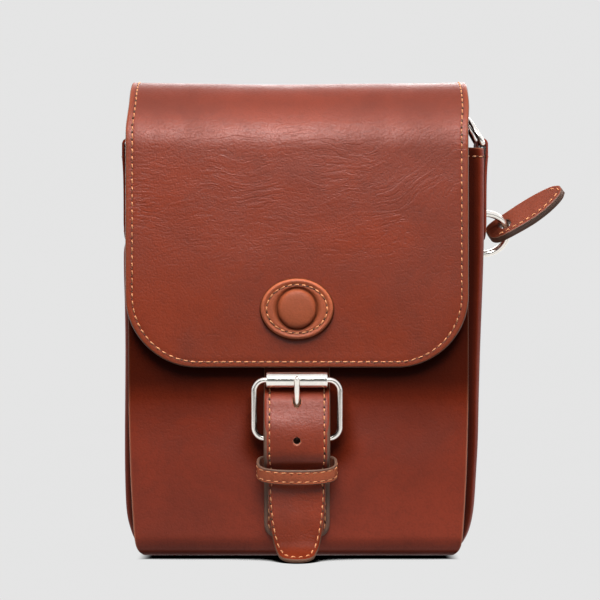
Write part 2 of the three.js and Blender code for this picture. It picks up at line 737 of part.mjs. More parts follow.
// The prong: an eye round the buckle's bar, and a rod that goes through the strap to the roller
function buckleProng() {
  const eyeShape = new THREE.Shape();
  eyeShape.absarc(0, 0, PRONG_EYE_RADIUS, 0, 2 * Math.PI);
  const bore = new THREE.Path();
  bore.absarc(0, 0, BUCKLE_WIRE + GAP, 0, 2 * Math.PI);
  eyeShape.holes.push(bore);
  const eyeWidth = 2 * BUCKLE_WIRE;
  const eye = new THREE.ExtrudeGeometry(eyeShape, {
    depth: eyeWidth,
    bevelEnabled: false,
    curveSegments: ARC_SEGMENTS,
  });
  eye.translate(0, 0, -eyeWidth / 2);
  eye.rotateY(Math.PI / 2);
  eye.translate(0, BUCKLE_BAR.y, BUCKLE_BAR.z);
  const along = prongEnd.clone().sub(prongStart).normalize();
  const foot = prongStart.clone().addScaledVector(along, PRONG_EYE_RADIUS - PRONG_FOOT_OVERLAP);
  const rodLength = prongEnd.distanceTo(foot);
  const rod = new THREE.CapsuleGeometry(PRONG_WIRE, rodLength - 2 * PRONG_WIRE, 4, 12);
  rod.applyQuaternion(new THREE.Quaternion().setFromUnitVectors(new THREE.Vector3(0, 1, 0), along));
  const middle = foot.clone().lerp(prongEnd, 0.5);
  rod.translate(middle.x, middle.y, middle.z);
  return piece("buckle_prong", join(eye, rod), steel());
}

// Place of a strap ring's bar on one side, before the body's own shift
const ringBarX = (side) => gussetReach(side, GUSSET_TOP, "lobe") - RING_INSET;

function dRing(side, sign) {
  const path = new THREE.Path();
  path.moveTo(0, 0);
  path.lineTo(RING_HALF_LENGTH - RING_CORNER, 0);
  path.quadraticCurveTo(RING_HALF_LENGTH, 0, RING_HALF_LENGTH, RING_CORNER);
  path.absellipse(0, RING_CORNER, RING_HALF_LENGTH, RING_HEIGHT - RING_CORNER, 0, Math.PI);
  path.quadraticCurveTo(-RING_HALF_LENGTH, 0, RING_CORNER - RING_HALF_LENGTH, 0);
  path.lineTo(0, 0);
  const bar = new THREE.Vector3(0, 0, 0);
  const along = new THREE.Vector3(0, 1, 0);
  const up = new THREE.Vector3(0, 0, 1);
  const wire = ringGeometry(spaced(path, RING_STEPS), bar, along, up, RING_WIRE);
  const ring = piece(`${side}_d_ring`, wire, steel());
  ring.position.set(sign * ringBarX(side), RING_Y, RING_Z);
  ring.rotation.y = -sign * RING_LEAN;
  return ring;
}

// A ring tab: up the outside of the gusset, over the ring's bar and down the inside
function ringTab(side, sign) {
  const bar = { p: ringBarX(side), q: RING_Z };
  const fold = RING_WIRE + GAP + TAB_WALL / 2;
  const outside = TAB_OUTER_ROWS.map((z) => ({
    p: gussetReach(side, z, "lobe") + GAP + TAB_WALL / 2,
    q: z,
  }));
  const line = [
    ...outside,
    ...arcPoints(bar, fold, 0, 180, 8),
    ...runPoints({ p: bar.p - fold, q: TAB_INNER_START }, { p: bar.p - fold, q: TAB_INNER_END }, 2),
  ].map((point) => {
    const fromEnd = THREE.MathUtils.clamp((point.q - TAB_OUTER_END) / TAB_CORNER, 0, 1);
    const rounding = TAB_CORNER * (1 - Math.sqrt(1 - (1 - fromEnd) ** 2));
    return { ...point, half: TAB_HALF_WIDTH - rounding };
  });
  const place = (across, p, q) => new THREE.Vector3(sign * p, RING_Y + across, q);
  const tab = stripGeometry(line, TAB_COLUMNS, TAB_WALL, 0.5, place);
  return piece(`${side}_ring_tab`, tab, leather(BODY_COLOUR));
}

function pullRing() {
  const circle = new THREE.Path();
  circle.absarc(0, 0, PULL_RING_RADIUS, 0, 2 * Math.PI);
  const path = spaced(circle, PULL_RING_STEPS);
  const geometry = ringGeometry(path, PULL_CENTRE, PULL_REACH, PULL_ALONG, PULL_WIRE);
  return piece("pull_ring", geometry, steel());
}

// The loop that holds the pull's ring: a band round the wire with a stem into the side's crease
function pullLoop() {
  const bore = PULL_WIRE + PULL_LOOP_SLACK;
  const outer = bore + PULL_LOOP_WALL;
  const stemHalf = PULL_LOOP_WALL;
  const mouth = Math.asin(stemHalf / outer);
  const outline = new THREE.Shape();
  outline.absarc(0, 0, outer, mouth, 2 * Math.PI - mouth);
  outline.lineTo(PULL_LOOP_STEM, -stemHalf);
  outline.lineTo(PULL_LOOP_STEM, stemHalf);
  const hole = new THREE.Path();
  hole.absarc(0, 0, bore, 0, 2 * Math.PI);
  outline.holes.push(hole);
  const loop = new THREE.ExtrudeGeometry(outline, {
    depth: PULL_LOOP_LENGTH,
    bevelEnabled: false,
    curveSegments: ARC_SEGMENTS,
  });
  loop.translate(0, 0, -PULL_LOOP_LENGTH / 2);
  const inwards = new THREE.Vector3(-1, 0, 0);
  const stem = inwards.addScaledVector(PULL_ALONG, -inwards.dot(PULL_ALONG)).normalize();
  const across = PULL_ALONG.clone().cross(stem);
  loop.applyMatrix4(new THREE.Matrix4().makeBasis(stem, across, PULL_ALONG));
  const seat = PULL_CENTRE.clone().addScaledVector(PULL_REACH, -PULL_RING_RADIUS);
  loop.translate(seat.x, seat.y, seat.z);
  return piece("pull_loop", loop, leather(STRAP_COLOUR));
}

// The pull: a thick tab with a round base and a pointed tip, rolled towards the front and curling up
function pullTab() {
  const hole = PULL_CENTRE.clone().addScaledVector(PULL_REACH, PULL_RING_RADIUS);
  const along = new THREE.Vector3(Math.cos(PULL_TAB_RISE), 0, Math.sin(PULL_TAB_RISE));
  const lying = new THREE.Vector3(-Math.sin(PULL_TAB_RISE), 0, Math.cos(PULL_TAB_RISE));
  const across = new THREE.Vector3(0, -Math.cos(PULL_TAB_ROLL), 0);
  across.addScaledVector(lying, -Math.sin(PULL_TAB_ROLL));
  const facing = across.clone().cross(along);
  const line = PULL_TAB_SECTIONS.map(({ along: share, width }) => ({
    p: share * (share < 0 ? PULL_TAB_BEHIND : PULL_TAB_AHEAD),
    q: PULL_TAB_CURL * Math.max(share, 0) ** 2,
    half: PULL_TAB_HALF_WIDTH * width,
  }));
  const place = (offset, p, q) =>
    hole
      .clone()
      .addScaledVector(along, p)
      .addScaledVector(across, offset)
      .addScaledVector(facing, q);
  const tab = stripGeometry(line, PULL_TAB_COLUMNS, PULL_TAB_WALL, 0.5, place);
  const reach = facing.clone().multiplyScalar(PULL_TAB_WALL);
  const punch = rodBetween(hole.clone().sub(reach), hole.clone().add(reach), PULL_HOLE_RADIUS, HOLE_SIDES);
  return piece("pull_tab", cut(tab, punch), leather(STRAP_COLOUR));
}

const body = new THREE.Group();
body.position.x = BODY_SHIFT;
body.add(bodyWrap());
for (const [side, sign] of [["left", -1], ["right", 1]]) {
  body.add(gusset(side, sign), ringTab(side, sign), dRing(side, sign));
}
body.add(pullLoop(), pullRing(), pullTab());

const closure = new THREE.Group();
closure.add(buckleBaseStrap(), closureStrap(), keeperLoop());
closure.add(buckleFrame(), buckleRoller(), buckleProng());

const bag = new THREE.Group();
bag.add(body, flap(), badge(), closure);

export default bag;
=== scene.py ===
"""Looks of a small upright leather crossbody bag, laid out as an add-on and run as a script.

Shapes are worked out in millimetres in the part's own frame: +Z up, the front faces -Y, and the
origin is under the middle of the base. They turn into metres when a mesh is made.
"""

import math

import bpy
import numpy as np
from bpy.props import FloatProperty, FloatVectorProperty, IntProperty, PointerProperty
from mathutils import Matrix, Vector


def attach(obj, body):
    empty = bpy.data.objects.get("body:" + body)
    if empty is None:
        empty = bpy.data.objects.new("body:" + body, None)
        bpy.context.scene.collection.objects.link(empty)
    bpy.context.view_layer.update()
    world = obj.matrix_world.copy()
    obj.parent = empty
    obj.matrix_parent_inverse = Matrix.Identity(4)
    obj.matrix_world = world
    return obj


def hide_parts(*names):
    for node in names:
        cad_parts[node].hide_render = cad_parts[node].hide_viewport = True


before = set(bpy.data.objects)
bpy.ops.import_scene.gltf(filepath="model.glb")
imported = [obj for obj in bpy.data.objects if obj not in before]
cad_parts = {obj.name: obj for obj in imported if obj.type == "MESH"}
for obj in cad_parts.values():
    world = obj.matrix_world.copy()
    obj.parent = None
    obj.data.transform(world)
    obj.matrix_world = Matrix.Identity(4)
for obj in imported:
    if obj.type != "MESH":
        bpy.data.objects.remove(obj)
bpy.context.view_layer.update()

bl_info = {
    "name": "Crossbody bag looks",
    "version": (1, 0, 0),
    "blender": (4, 5, 0),
    "location": "View3D > Sidebar > Bag",
    "description": "Builds the leather, stitches, buckle, rings and stage of a crossbody bag",
    "category": "Object",
}

MM = 0.001
BODY_SHIFT = 0.8

# Body wall, with its half width at each height
WRAP_WALL = 2.4
WRAP_FRONT_Y = -32.2
WRAP_BACK_Y = 35.1
WRAP_FRONT_TOP = 207
WRAP_BACK_TOP = 214
WRAP_BEND = 12
BELLY = 1.5
BELLY_Z = 58
BELLY_REACH = 48
BELLY_SIDE_FADE = 0.6
# Height on the front, and how dark the painted shade under the flap makes the leather there
FRONT_SHADE = [
    (58, 0.04), (71, 0.18), (81, 0.32), (84, 0.42), (87, 0.56), (90.5, 0.73), (94, 0.88), (207, 0.95),
]
# Painted shade round the buckle, and along the bottom edge of the wall
BUCKLE_SHADE = 0.75
BASE_SHADE = 0.8
BODY_HALF_WIDTHS = [
    (0, 82.9), (2.4, 85), (5, 86.1), (9, 86.8), (13, 87.2), (20, 87.7), (30, 88.3), (47, 89.1), (87, 90),
    (214, 90),
]

# Sides, with the reach of the front lobe at each height
GUSSET_WALL = 2.2
GUSSET_TOP = 218
GUSSET_LOW = 2.7
GUSSET_INSET = 2.5
GUSSET_SPAN = 62.5
HEM = 4.8
CREASE_DEPTH = 3
REAR_LOBE_SHARE = 0.4
WALL_CLEARANCE = 0.3
LOBE_REACH = {
    "right": [
        (2.7, 82.8), (5.5, 87), (9.7, 89.6), (14, 91.4), (20, 92.9), (28, 94), (45, 95.1), (61, 96),
        (88, 96.7), (115, 97.5), (150, 98.9), (170, 99.4), (218, 99.4),
    ],
    "left": [
        (2.7, 82.8), (5.5, 86), (9.7, 88.2), (14, 89.8), (20, 91.4), (28, 92.3), (45, 92.8), (61, 92.9),
        (88, 92.9), (115, 93), (135, 93.3), (150, 93.7), (163, 93.7), (166.5, 93.1), (169, 92.4), (218, 92.4),
    ],
}
GUSSET_FOLDS = [(0, "edge"), (0.153, "lobe"), (0.444, "lobe"), (0.68, "crease"), (0.86, "rear"), (1, "edge")]
SIDES = {"left": -1, "right": 1}
# Painted shade: how dark the front fold of each side is, and the rest of both
SIDE_SHADE = {"left": 0.42, "right": 0.16}
REAR_SHADE = 0.12

# Flap
FLAP_WALL = 2.6
FLAP_HALF_WIDTH = 90.4
FLAP_RADIUS = 38
FLAP_SPRING_Z = 217.2
FLAP_TAIL_Z = 172
FLAP_END_Z = 101
FLAP_CORNER = 38
FLAP_TAIL_CORNER = 5
FLAP_BELLY = 0.6
FLAP_CROWN_DIP = 1
FLAP_SWAY = 1.1
FLAP_GROOVE = 3.5
FLAP_SEAM_SIDE = 3.7
FLAP_SEAM_END = 3
FLAP_SEAM_TAIL = 3.2
FLAP_SEAM_CORNER = 34.7

# Badge: half width, half height and height over the flap of each oval
BADGE_Z = 131.9
BADGE_BACK_Y = -38.9
BADGE_OVALS = [
    (19.2, 16.05, 0), (19.6, 16.45, 0.15), (19.6, 16.45, 0.4), (19.2, 16.05, 0.6), (19, 15.85, 0.9),
    (18.9, 15.75, 1.5), (18.4, 15.25, 2.1), (17.9, 14.75, 2.3), (17.4, 14.25, 2.22), (16.6, 13.45, 1.95),
    (15.9, 12.75, 1.75), (15.2, 12.1, 1.9), (13.4, 11.95, 1.95), (11.7, 11.75, 1.8), (11, 11.25, 1.4),
    (10.5, 10.8, 1.2), (10.1, 10.4, 1.5), (9.8, 10.1, 2.15), (9.2, 9.5, 2.75), (8.2, 8.5, 3.1),
    (6.6, 6.9, 3.32), (4.4, 4.6, 3.44), (2, 2.1, 3.5), (0.4, 0.42, 3.51),
]
# How dark each oval is painted, in the order of the ovals above: painted shade in the gap under the badge's edge
# and in its groove, and on the dome its own darker tone
BADGE_SHADE_AND_TONE = [
    1, 1, 1, 0.95, 0.55, 0, 0, 0, 0.1, 0.3, 0.35, 0.2, 0.1, 0.35, 0.75, 0.9, 0.75, 0.4, 0.25,
    0.2, 0.2, 0.2, 0.2, 0.2,
]
BADGE_SEAM = (15.9, 12.75, 1.85)
BADGE_SEAM_PITCH = 0.00365
BADGE_PAINTED_FROM = 18.5

# Straps: depth and height of points along each
STRAP_HALF_WIDTH = 17.4
STRAP_WALL = 2.6
STRAP_ROUTE = [
    (-33.85, 125), (-33.85, 112), (-33.9, 100), (-34.1, 95), (-34.9, 91.5), (-38.7, 88), (-42, 84.5),
    (-43.8, 79), (-45.6, 72), (-46.4, 66), (-46.6, 60.5), (-46.3, 56.5), (-44.8, 53), (-42.5, 50),
    (-40.9, 47), (-40.2, 42), (-40.5, 34), (-41.2, 25), (-42.3, 14), (-44.2, 7.5), (-47.4, 3.8),
    (-51, 2.2), (-54.5, 1.55),
]
POINT_LENGTH = 60
POINT_SHARES = [
    (0, 0.1), (0.02, 0.28), (0.072, 0.484), (0.135, 0.582), (0.217, 0.68), (0.36, 0.779), (0.513, 0.839),
    (0.663, 0.874), (0.767, 0.886), (0.9, 0.95), (1, 1),
]
STRAP_HOLE_Z = 63.2
STRAP_HOLE_RADIUS = 1.8
STRAP_SEAM_TOP = 91
# Distance from the tip, and how far the stitch line runs inside the edge there
STRAP_SEAM_INSETS = [(0, 2.7), (12, 2), (26, 1.5), (42, 1.4), (50, 3.1)]
# Height on the pointed strap, and how dark the painted shade makes the leather there, above the roller and near
# the tip
STRAP_SHADE = [(4, 0.45), (11, 0.4), (24, 0), (85.5, 0), (87.5, 0.4), (89, 0.85), (92, 0.95)]
# Across, height and radius of the painted highlights on the lower lips of its holes
HOLE_LIP_HIGHLIGHTS = [(0, STRAP_HOLE_Z - 0.5, 1.9), (0, 83.4, 2.3)]
BASE_WALL = 2
BASE_BACK_END = 56
BASE_FOLD_GAP = 0.5
BASE_ROUTE = [(-38.9, 58), (-37.9, 53), (-37.5, 46), (-35.9, 36), (-34.1, 27), (-33.8, 20), (-33.5, 10.8)]
BASE_POINT_LENGTH = 8
BASE_POINT_SHARES = [(0, 0.6), (0.15, 0.8), (0.4, 0.92), (0.7, 0.98), (1, 1)]
BASE_SEAM_TOP = 58
BASE_SEAM_INSETS = [(0, 2.6)]
PRONG_SLOT_HALF_WIDTH = 2.3

KEEPER_WALL = 1.5
KEEPER_HEIGHT = 7.8
KEEPER_HALF_WIDTH = 20.4
KEEPER_FRONT = (-46, 43.9)
KEEPER_BACK = (-34.9, 51)
KEEPER_LEAN = math.radians(8)
KEEPER_FRONT_SQUARENESS = 0.78
KEEPER_BACK_SQUARENESS = 0.42
KEEPER_SEAM_INSET = 1.55

# Buckle
BUCKLE_WIRE = 1.45
BUCKLE_WIRE_SHOWN = 1.65
BUCKLE_BORE = 1.75
BUCKLE_HALF_WIDTH = 22.55
BUCKLE_BAR = (-38, 63.9)
BUCKLE_TOP = (-40.3, 94.6)
BUCKLE_TOP_CORNER = 6
BUCKLE_LOW_CORNER = 5.8
ROLLER_RADIUS = 4.25
ROLLER_LENGTH = 32.4
PRONG_WIRE = 1.65
PRONG_TIP = (-47.45, 96.8)
PRONG_EYE_RADIUS = 3.4
PRONG_DIP = 1.3
PRONG_HOLE_RADIUS = 2.15

# Strap rings
RING_WIRE = 1.6
RING_HALF_LENGTH = 11.6
RING_HEIGHT = 16.5
RING_CORNER = 3
RING_Y = -11
RING_Z = 220.3
RING_INSET = 0.9
RING_LEAN = math.radians(30)
TAB_WALL = 1.3
TAB_HALF_WIDTH = 8.5
TAB_OUTER_END = 169
TAB_INNER_END = 200
TAB_FOLD_Z = 213
TAB_SEAMS = (4.5, 44.5)
TAB_SPREAD = 0.85
TAB_CORNER = 5

# Pull on the right side
PULL_RING_RADIUS = 13
PULL_WIRE = 1.9
PULL_CENTRE = np.array([102.4 + BODY_SHIFT, 13.5, 173.2])
PULL_REACH = np.array([0.95, 0, 0.312])
PULL_ALONG = np.array([-0.364, -0.5, 0.785])
PULL_LOOP_WALL = 1.5
PULL_LOOP_LENGTH = 5
PULL_LOOP_STEM = 4.2
PULL_LOOP_SLACK = 0.5
PULL_WALL = 5
PULL_HALF_WIDTH = 8
PULL_BEHIND = 11
PULL_AHEAD = 37
PULL_RISE = math.radians(30.5)
PULL_ROLL = math.radians(47)
PULL_CURL = 3
PULL_HOLE_RADIUS = 3.4
PULL_SEAM_START = -5
PULL_SEAM_INSETS = [(0, 2.1)]
# Painted shadow of the ring over the end of the pull
PULL_SHADE = 0.6
PULL_WIDTHS = [
    (-1, 0.3), (-0.93, 0.52), (-0.75, 0.72), (-0.4, 0.83), (0, 0.88), (0.35, 0.95), (0.6, 0.88), (0.8, 0.71),
    (0.93, 0.49), (1, 0.2),
]

# Leather: heights and places in metres between which its finish, and the painted shade on its top, change
CROWN_Z = (0.224, 0.242)
CREASED_Z = (0.145, 0.185)
SMOOTH_TOP_Z = (0.226, 0.244)
SWEEP_X = (0.034, 0.086)
SWEEP_Z = (0.16, 0.2)

# Floor: distances in metres between which the painted shadow under the bag and the paper's glow change
SHADOW_SIDES = (0.078, 0.086)
SHADOW_FRONT = (-0.0385, -0.0335)
SHADOW_BACK = (-0.03, -0.02)
SHADOW_OPENNESS = (0.5, 0.68)
MIRRORED_NEAR = (-0.075, -0.052)
MIRRORED_FAR = (-0.6, -0.2)
BOUNCED_NEAR = (-0.13, -0.05)

# Lights: place and size in metres, share of the key's power, tint, and the kind of ray that misses them
WHITE = (1.0, 1.0, 1.0)
SOFTBOXES = {
    "key softbox": ((0.03, -0.66, 1.31), (0.9, 1.05), 1.0, (1.0, 0.98, 0.96), "visible_glossy"),
    "shine softbox": ((0.0, -1.05, 0.79), (0.42, 0.42), 0.36, WHITE, "visible_diffuse"),
    "left side": ((-1.2, 0.45, 0.6), (0.5, 0.8), 0.2, WHITE, None),
    "right side": ((1.2, 0.45, 0.6), (0.5, 0.8), 0.12, WHITE, None),
    "back": ((0.2, 1.15, 0.85), (0.9, 0.5), 0.18, WHITE, None),
}
LIT_POINT = (0.0, -0.03, 0.15)
CAMERA_X = 0.0016
CAMERA_Z = 0.1366


def colour_setting(name, description, default):
    """A colour property."""
    return FloatVectorProperty(
        name=name, description=description, subtype="COLOR", size=4, min=0, max=1, default=default,
    )


def length_setting(name, description, default, least):
    """A length property, in metres."""
    return FloatProperty(name=name, description=description, unit="LENGTH", default=default, min=least)


class BagLeather(bpy.types.PropertyGroup):
    """Colours and finish of the leather and the thread."""

    flap_colour: colour_setting("Flap", "Colour of the flap", (0.28, 0.041, 0.0145, 1))
    body_colour: colour_setting("Body", "Colour of the body, sides and ring tabs", (0.262, 0.034, 0.0125, 1))
    strap_colour: colour_setting("Straps", "Colour of the straps and the pull", (0.285, 0.0405, 0.0145, 1))
    badge_colour: colour_setting("Badge", "Colour of the badge and, darker, the keeper", (0.6, 0.142, 0.059, 1))
    edge_colour: colour_setting("Cut edge", "Colour of the painted cut edges", (0.19, 0.1, 0.068, 1))
    thread_colour: colour_setting("Thread", "Colour of the stitching", (0.9, 0.4, 0.18, 1))
    grain_size: length_setting("Grain", "Size of one pebble of the grain", 0.0011, 0.0002)
    crease_spacing: length_setting("Creases", "From one fine crease of the flap to the next", 0.0018, 0.0005)


class BagStitching(bpy.types.PropertyGroup):
    """Sizes of the stitches."""

    pitch: length_setting("Pitch", "From one stitch to the next", 0.004, 0.001)
    thread_radius: length_setting("Thread radius", "Half the thickness of the thread", 0.00037, 0.0001)
    arch: length_setting("Arch", "How far a stitch stands over the leather", 0.00042, 0)
    hole_radius: length_setting("Hole radius", "Half the width of a needle hole", 0.00064, 0.0001)
    slant: FloatProperty(
        name="Slant", description="Turn of a stitch from its seam", subtype="ANGLE", default=math.radians(5),
    )
    seed: IntProperty(
        name="Seed", description="Picks the small differences between stitches", default=4, min=0,
    )


class BagMetal(bpy.types.PropertyGroup):
    """Finish of the buckle and the rings."""

    colour: colour_setting("Metal", "Colour of the satin metal", (0.88, 0.835, 0.77, 1))
    sides: IntProperty(
        name="Wire sides", description="Faces round each wire", default=20, min=6, max=48,
    )


class BagStage(bpy.types.PropertyGroup):
    """Backdrop, lights and camera."""

    backdrop_colour: colour_setting("Backdrop", "Colour of the floor and the backdrop", (0.783, 0.783, 0.783, 1))
    key_power: FloatProperty(
        name="Key power", description="Power of the softbox over the front", subtype="POWER", default=33, min=0,
    )
    lens: FloatProperty(
        name="Lens", description="Focal length of the camera in millimetres", default=114.07, min=10,
    )
    distance: length_setting("Distance", "From the camera to the middle of the bag", 1.0385, 0.2)


def unit(vectors):
    """Vectors scaled to length one."""
    vectors = np.asarray(vectors, float)
    return vectors / np.maximum(np.linalg.norm(vectors, axis=-1, keepdims=True), 1e-12)


def rising(values, start, span):
    """Shares from 0 at a start to 1 a span further on. A negative span runs the other way."""
    return np.clip((np.asarray(values, float) - start) / span, 0, 1)


def smoothed(share):
    """A share that leaves 0 and reaches 1 softly."""
    return share * share * (3 - 2 * share)


def listed(table, at):
    """Values of a two-column table at places along it, straight between its rows."""
    return np.interp(at, *np.transpose(table))


def eased(table, at):
    """Values of a two-column table at places along it, eased through the rows on both sides."""
    places, values = np.array(table, float).T
    last = len(places) - 1
    at = np.clip(np.asarray(at, float), places[0], places[-1])
    row = np.clip(np.searchsorted(places, at, side="left") - 1, 0, last - 1)
    before = np.maximum(np.arange(last + 1) - 1, 0)
    after = np.minimum(np.arange(last + 1) + 1, last)
    slopes = (values[after] - values[before]) / (places[after] - places[before])
    span = places[row + 1] - places[row]
    t = (at - places[row]) / span
    bend = (1 - t) * slopes[row] - t * slopes[row + 1]
    chord = (values[row + 1] - values[row]) / span
    straight = values[row] + (values[row + 1] - values[row]) * t
    return straight + t * (1 - t) * span * (bend - (1 - 2 * t) * chord)


def smooth_curve(points, steps=40):
    """Points of a smooth curve through the given ones."""
    points = np.array(points, float)
    last = len(points) - 1
    share = np.linspace(0, 1, steps, endpoint=False)[:, None]
    runs = []
    for i in range(last):
        a, b = points[max(i - 1, 0)], points[i]
        c, d = points[i + 1], points[min(i + 2, last)]
        lead, trail = (c - a) / 2, (d - b) / 2
        cubic = 2 * b - 2 * c + lead + trail
        square = 3 * (c - b) - 2 * lead - trail
        runs.append(cubic * share**3 + square * share**2 + lead * share + b)
    return np.concatenate(runs + [points[-1:]])


def full_turn(count):
    """Even angles once round."""
    return np.linspace(0, 2 * math.pi, count, endpoint=False)


def arc(centre, radius, start, end, steps=24):
    """Points of an arc in a side view, from one angle in degrees to another."""
    angles = np.radians(np.linspace(start, end, steps))
    return np.stack([centre[0] + radius * np.cos(angles), centre[1] + radius * np.sin(angles)], 1)


def ripple(s, t, seed, length, count=7):
    """A smooth uneven field between about -1 and 1, with waves of about the given length."""
    draw = np.random.default_rng(seed)
    total = np.zeros(np.broadcast(s, t).shape)
    for _ in range(count):
        angle, phase = draw.uniform(0, 2 * math.pi, 2)
        wave = length * draw.uniform(0.7, 1.6)
        total += np.sin(2 * math.pi * (s * math.cos(angle) + t * math.sin(angle)) / wave + phase)
    return total / math.sqrt(count * 2)


def grid_quads(grid):
    """Quads between the neighbours of a grid of point numbers."""
    low, high = grid[:-1], grid[1:]
    return np.stack([low[:, :-1], high[:, :-1], high[:, 1:], low[:, 1:]], -1).reshape(-1, 4)


class SideLine:
    """A line in the bag's side view, with places on it measured along it."""

    def __init__(self, points):
        self.points = np.array(points, float)
        steps = np.linalg.norm(np.diff(self.points, axis=0), axis=1)
        self.stations = np.concatenate([[0], np.cumsum(steps)])
        self.length = self.stations[-1]

    def at(self, t):
        """Depth and height at places along the line."""
        depth = np.interp(t, self.stations, self.points[:, 0])
        return depth, np.interp(t, self.stations, self.points[:, 1])

    def outwards(self, t, reach=0.4):
        """Depth and height parts of the direction to the right of the line."""
        ahead = self.at(np.minimum(t + reach, self.length))
        behind = self.at(np.maximum(t - reach, 0))
        run = np.hypot(ahead[0] - behind[0], ahead[1] - behind[1])
        return (ahead[1] - behind[1]) / run, (behind[0] - ahead[0]) / run

    def where(self, height):
        """Place along the line of the last point near a height."""
        near = np.flatnonzero(np.diff(np.sign(self.points[:, 1] - height)))
        return self.stations[near[-1]]


def level(s, t, d):
    """The relief of a sheet without any."""
    return 0 * s


class LeatherSheet:
    """A leather sheet over a flat pattern: s runs across it and t along it, in millimetres.

    place turns a spot of the pattern into a point, outline is the pattern's edge, and relief is how
    far the outer face stands out at a spot. turn is 1 where s, t and the outer side are right-handed.
    """

    def __init__(self, place, outline, wall, outer_share, turn, relief=None, round_share=0.8):
        self.place = place
        self.outline = np.array(outline, float)
        self.wall = wall
        self.outer_share = outer_share
        self.turn = turn
        self.relief = relief or level
        self.round = round_share * wall / 2

    def distance(self, s, t):
        """Distance of spots from the pattern's edge."""
        spots = np.stack([np.ravel(s), np.ravel(t)], 1)
        starts = self.outline
        runs = np.roll(starts, -1, axis=0) - starts
        lengths = np.maximum((runs**2).sum(1), 1e-12)
        nearest = np.full(len(spots), np.inf)
        for start, run, length in zip(starts, runs, lengths):
            offset = spots - start
            along = np.clip(offset @ run / length, 0, 1)[:, None]
            nearest = np.minimum(nearest, ((offset - along * run) ** 2).sum(1))
        return np.sqrt(nearest).reshape(np.shape(s))

    def normals(self, s, t, step=0.15):
        """Directions out of the outer face."""
        across = self.place(s + step, t) - self.place(s - step, t)
        along = self.place(s, t + step) - self.place(s, t - step)
        return self.turn * unit(np.cross(across, along))

    def faces(self, s, t):
        """Points of the outer and the inner face, and the distance of each from the edge."""
        d = self.distance(s, t)
        share = 1 - rising(d, 0, self.round)
        half = self.wall / 2 - self.round * (1 - np.sqrt(1 - share**2))
        middle = self.wall * (self.outer_share - 0.5)
        points, out = self.place(s, t), self.normals(s, t)
        outer = points + out * (middle + half + self.relief(s, t, d))[..., None]
        return outer, points + out * (middle - half)[..., None], d

    def seam(self, spots, lift=0.02):
        """Points of a stitch line on the outer face, and the way that face looks there."""
        s, t = np.array(spots, float).T
        outer, _, _ = self.faces(s, t)
        out = self.normals(s, t)
        return outer + out * lift, out

    def mesh(self, name, s, t, closed=False, edge_start=0.0, edge_share=1.0, press=0.0, bare_back=1.0):
        """The sheet as one closed mesh over a grid of spots.

        An edge start leaves the edge unpainted, a low edge share widens the paint, press is how dark the
        painted shade makes each spot, and bare_back is 0 for a sheet that is dyed on both sides.
        """
        outer, inner, d = self.faces(s, t)
        count = d.size
        grid = np.arange(count).reshape(d.shape)
        if closed:
            grid = np.concatenate([grid, grid[:, :1]], 1)
        low, high = grid[:-1], grid[1:]
        front = grid_quads(grid)
        rims = [
            np.stack([grid[0, :-1], grid[0, 1:], grid[0, 1:] + count, grid[0, :-1] + count], -1),
            np.stack([grid[-1, :-1], grid[-1, :-1] + count, grid[-1, 1:] + count, grid[-1, 1:]], -1),
        ]
        if not closed:
            rims.append(np.stack([low[:, 0], low[:, 0] + count, high[:, 0] + count, high[:, 0]], -1))
            rims.append(np.stack([low[:, -1], high[:, -1], high[:, -1] + count, low[:, -1] + count], -1))
        quads = np.concatenate([front, front[:, ::-1] + count] + rims)
        points = np.concatenate([outer.reshape(-1, 3), inner.reshape(-1, 3)])
        return closed_piece(
            name, points, quads, edge=np.tile(np.ravel(edge_start + d * edge_share), 2),
            flesh=np.repeat([0.0, bare_back], count), press=np.tile(np.ravel(press + 0 * d), 2),
        )


def new_object(name, data):
    """An object in the scene."""
    thing = bpy.data.objects.new(name, data)
    bpy.context.scene.collection.objects.link(thing)
    return thing


def point_layer(mesh, label, values):
    """Stores a number for each point of a mesh."""
    layer = mesh.attributes.new(label, "FLOAT", "POINT")
    layer.data.foreach_set("value", np.asarray(values, np.float32))


def closed_piece(name, points, quads, **layers):
    """An object from points in millimetres, quads and named point values, with its faces turned out."""
    points, quads = np.asarray(points, float), np.asarray(quads)
    a, b, c, d = (points[quads[:, k]] for k in range(4))
    volume = np.einsum("ij,ij->i", a, np.cross(b, c) + np.cross(c, d)).sum()
    if volume < 0:
        quads = quads[:, ::-1]
    faces = [list(dict.fromkeys(quad)) for quad in quads.tolist()]
    mesh = bpy.data.meshes.new(name)
    mesh.from_pydata((points * MM).tolist(), [], [face for face in faces if len(face) > 2])
    mesh.polygons.foreach_set("use_smooth", [True] * len(mesh.polygons))
    for label, values in layers.items():
        point_layer(mesh, label, values)
    mesh.validate()
    return new_object(name, mesh)


def loft(name, sections, closed):
    """A tube through sections of equal point count, joined into a ring or capped at both ends."""
    sections = np.asarray(sections, float)
    count, sides, _ = sections.shape
    grid = np.arange(count * sides).reshape(count, sides)
    grid = np.concatenate([grid, grid[:, :1]], 1)
    if closed:
        grid = np.concatenate([grid, grid[:1]])
    quads = grid_quads(grid)
    points = sections.reshape(-1, 3)
    if not closed:
        middles = np.array([sections[0].mean(0), sections[-1].mean(0)])
        first = np.full(sides, count * sides)
        caps = [np.stack([first, grid[0, :-1], grid[0, 1:], first], -1)]
        caps.append(np.stack([first + 1, grid[-1, 1:], grid[-1, :-1], first + 1], -1))
        points, quads = np.concatenate([points, middles]), np.concatenate([quads] + caps)
    return closed_piece(name, points, quads)


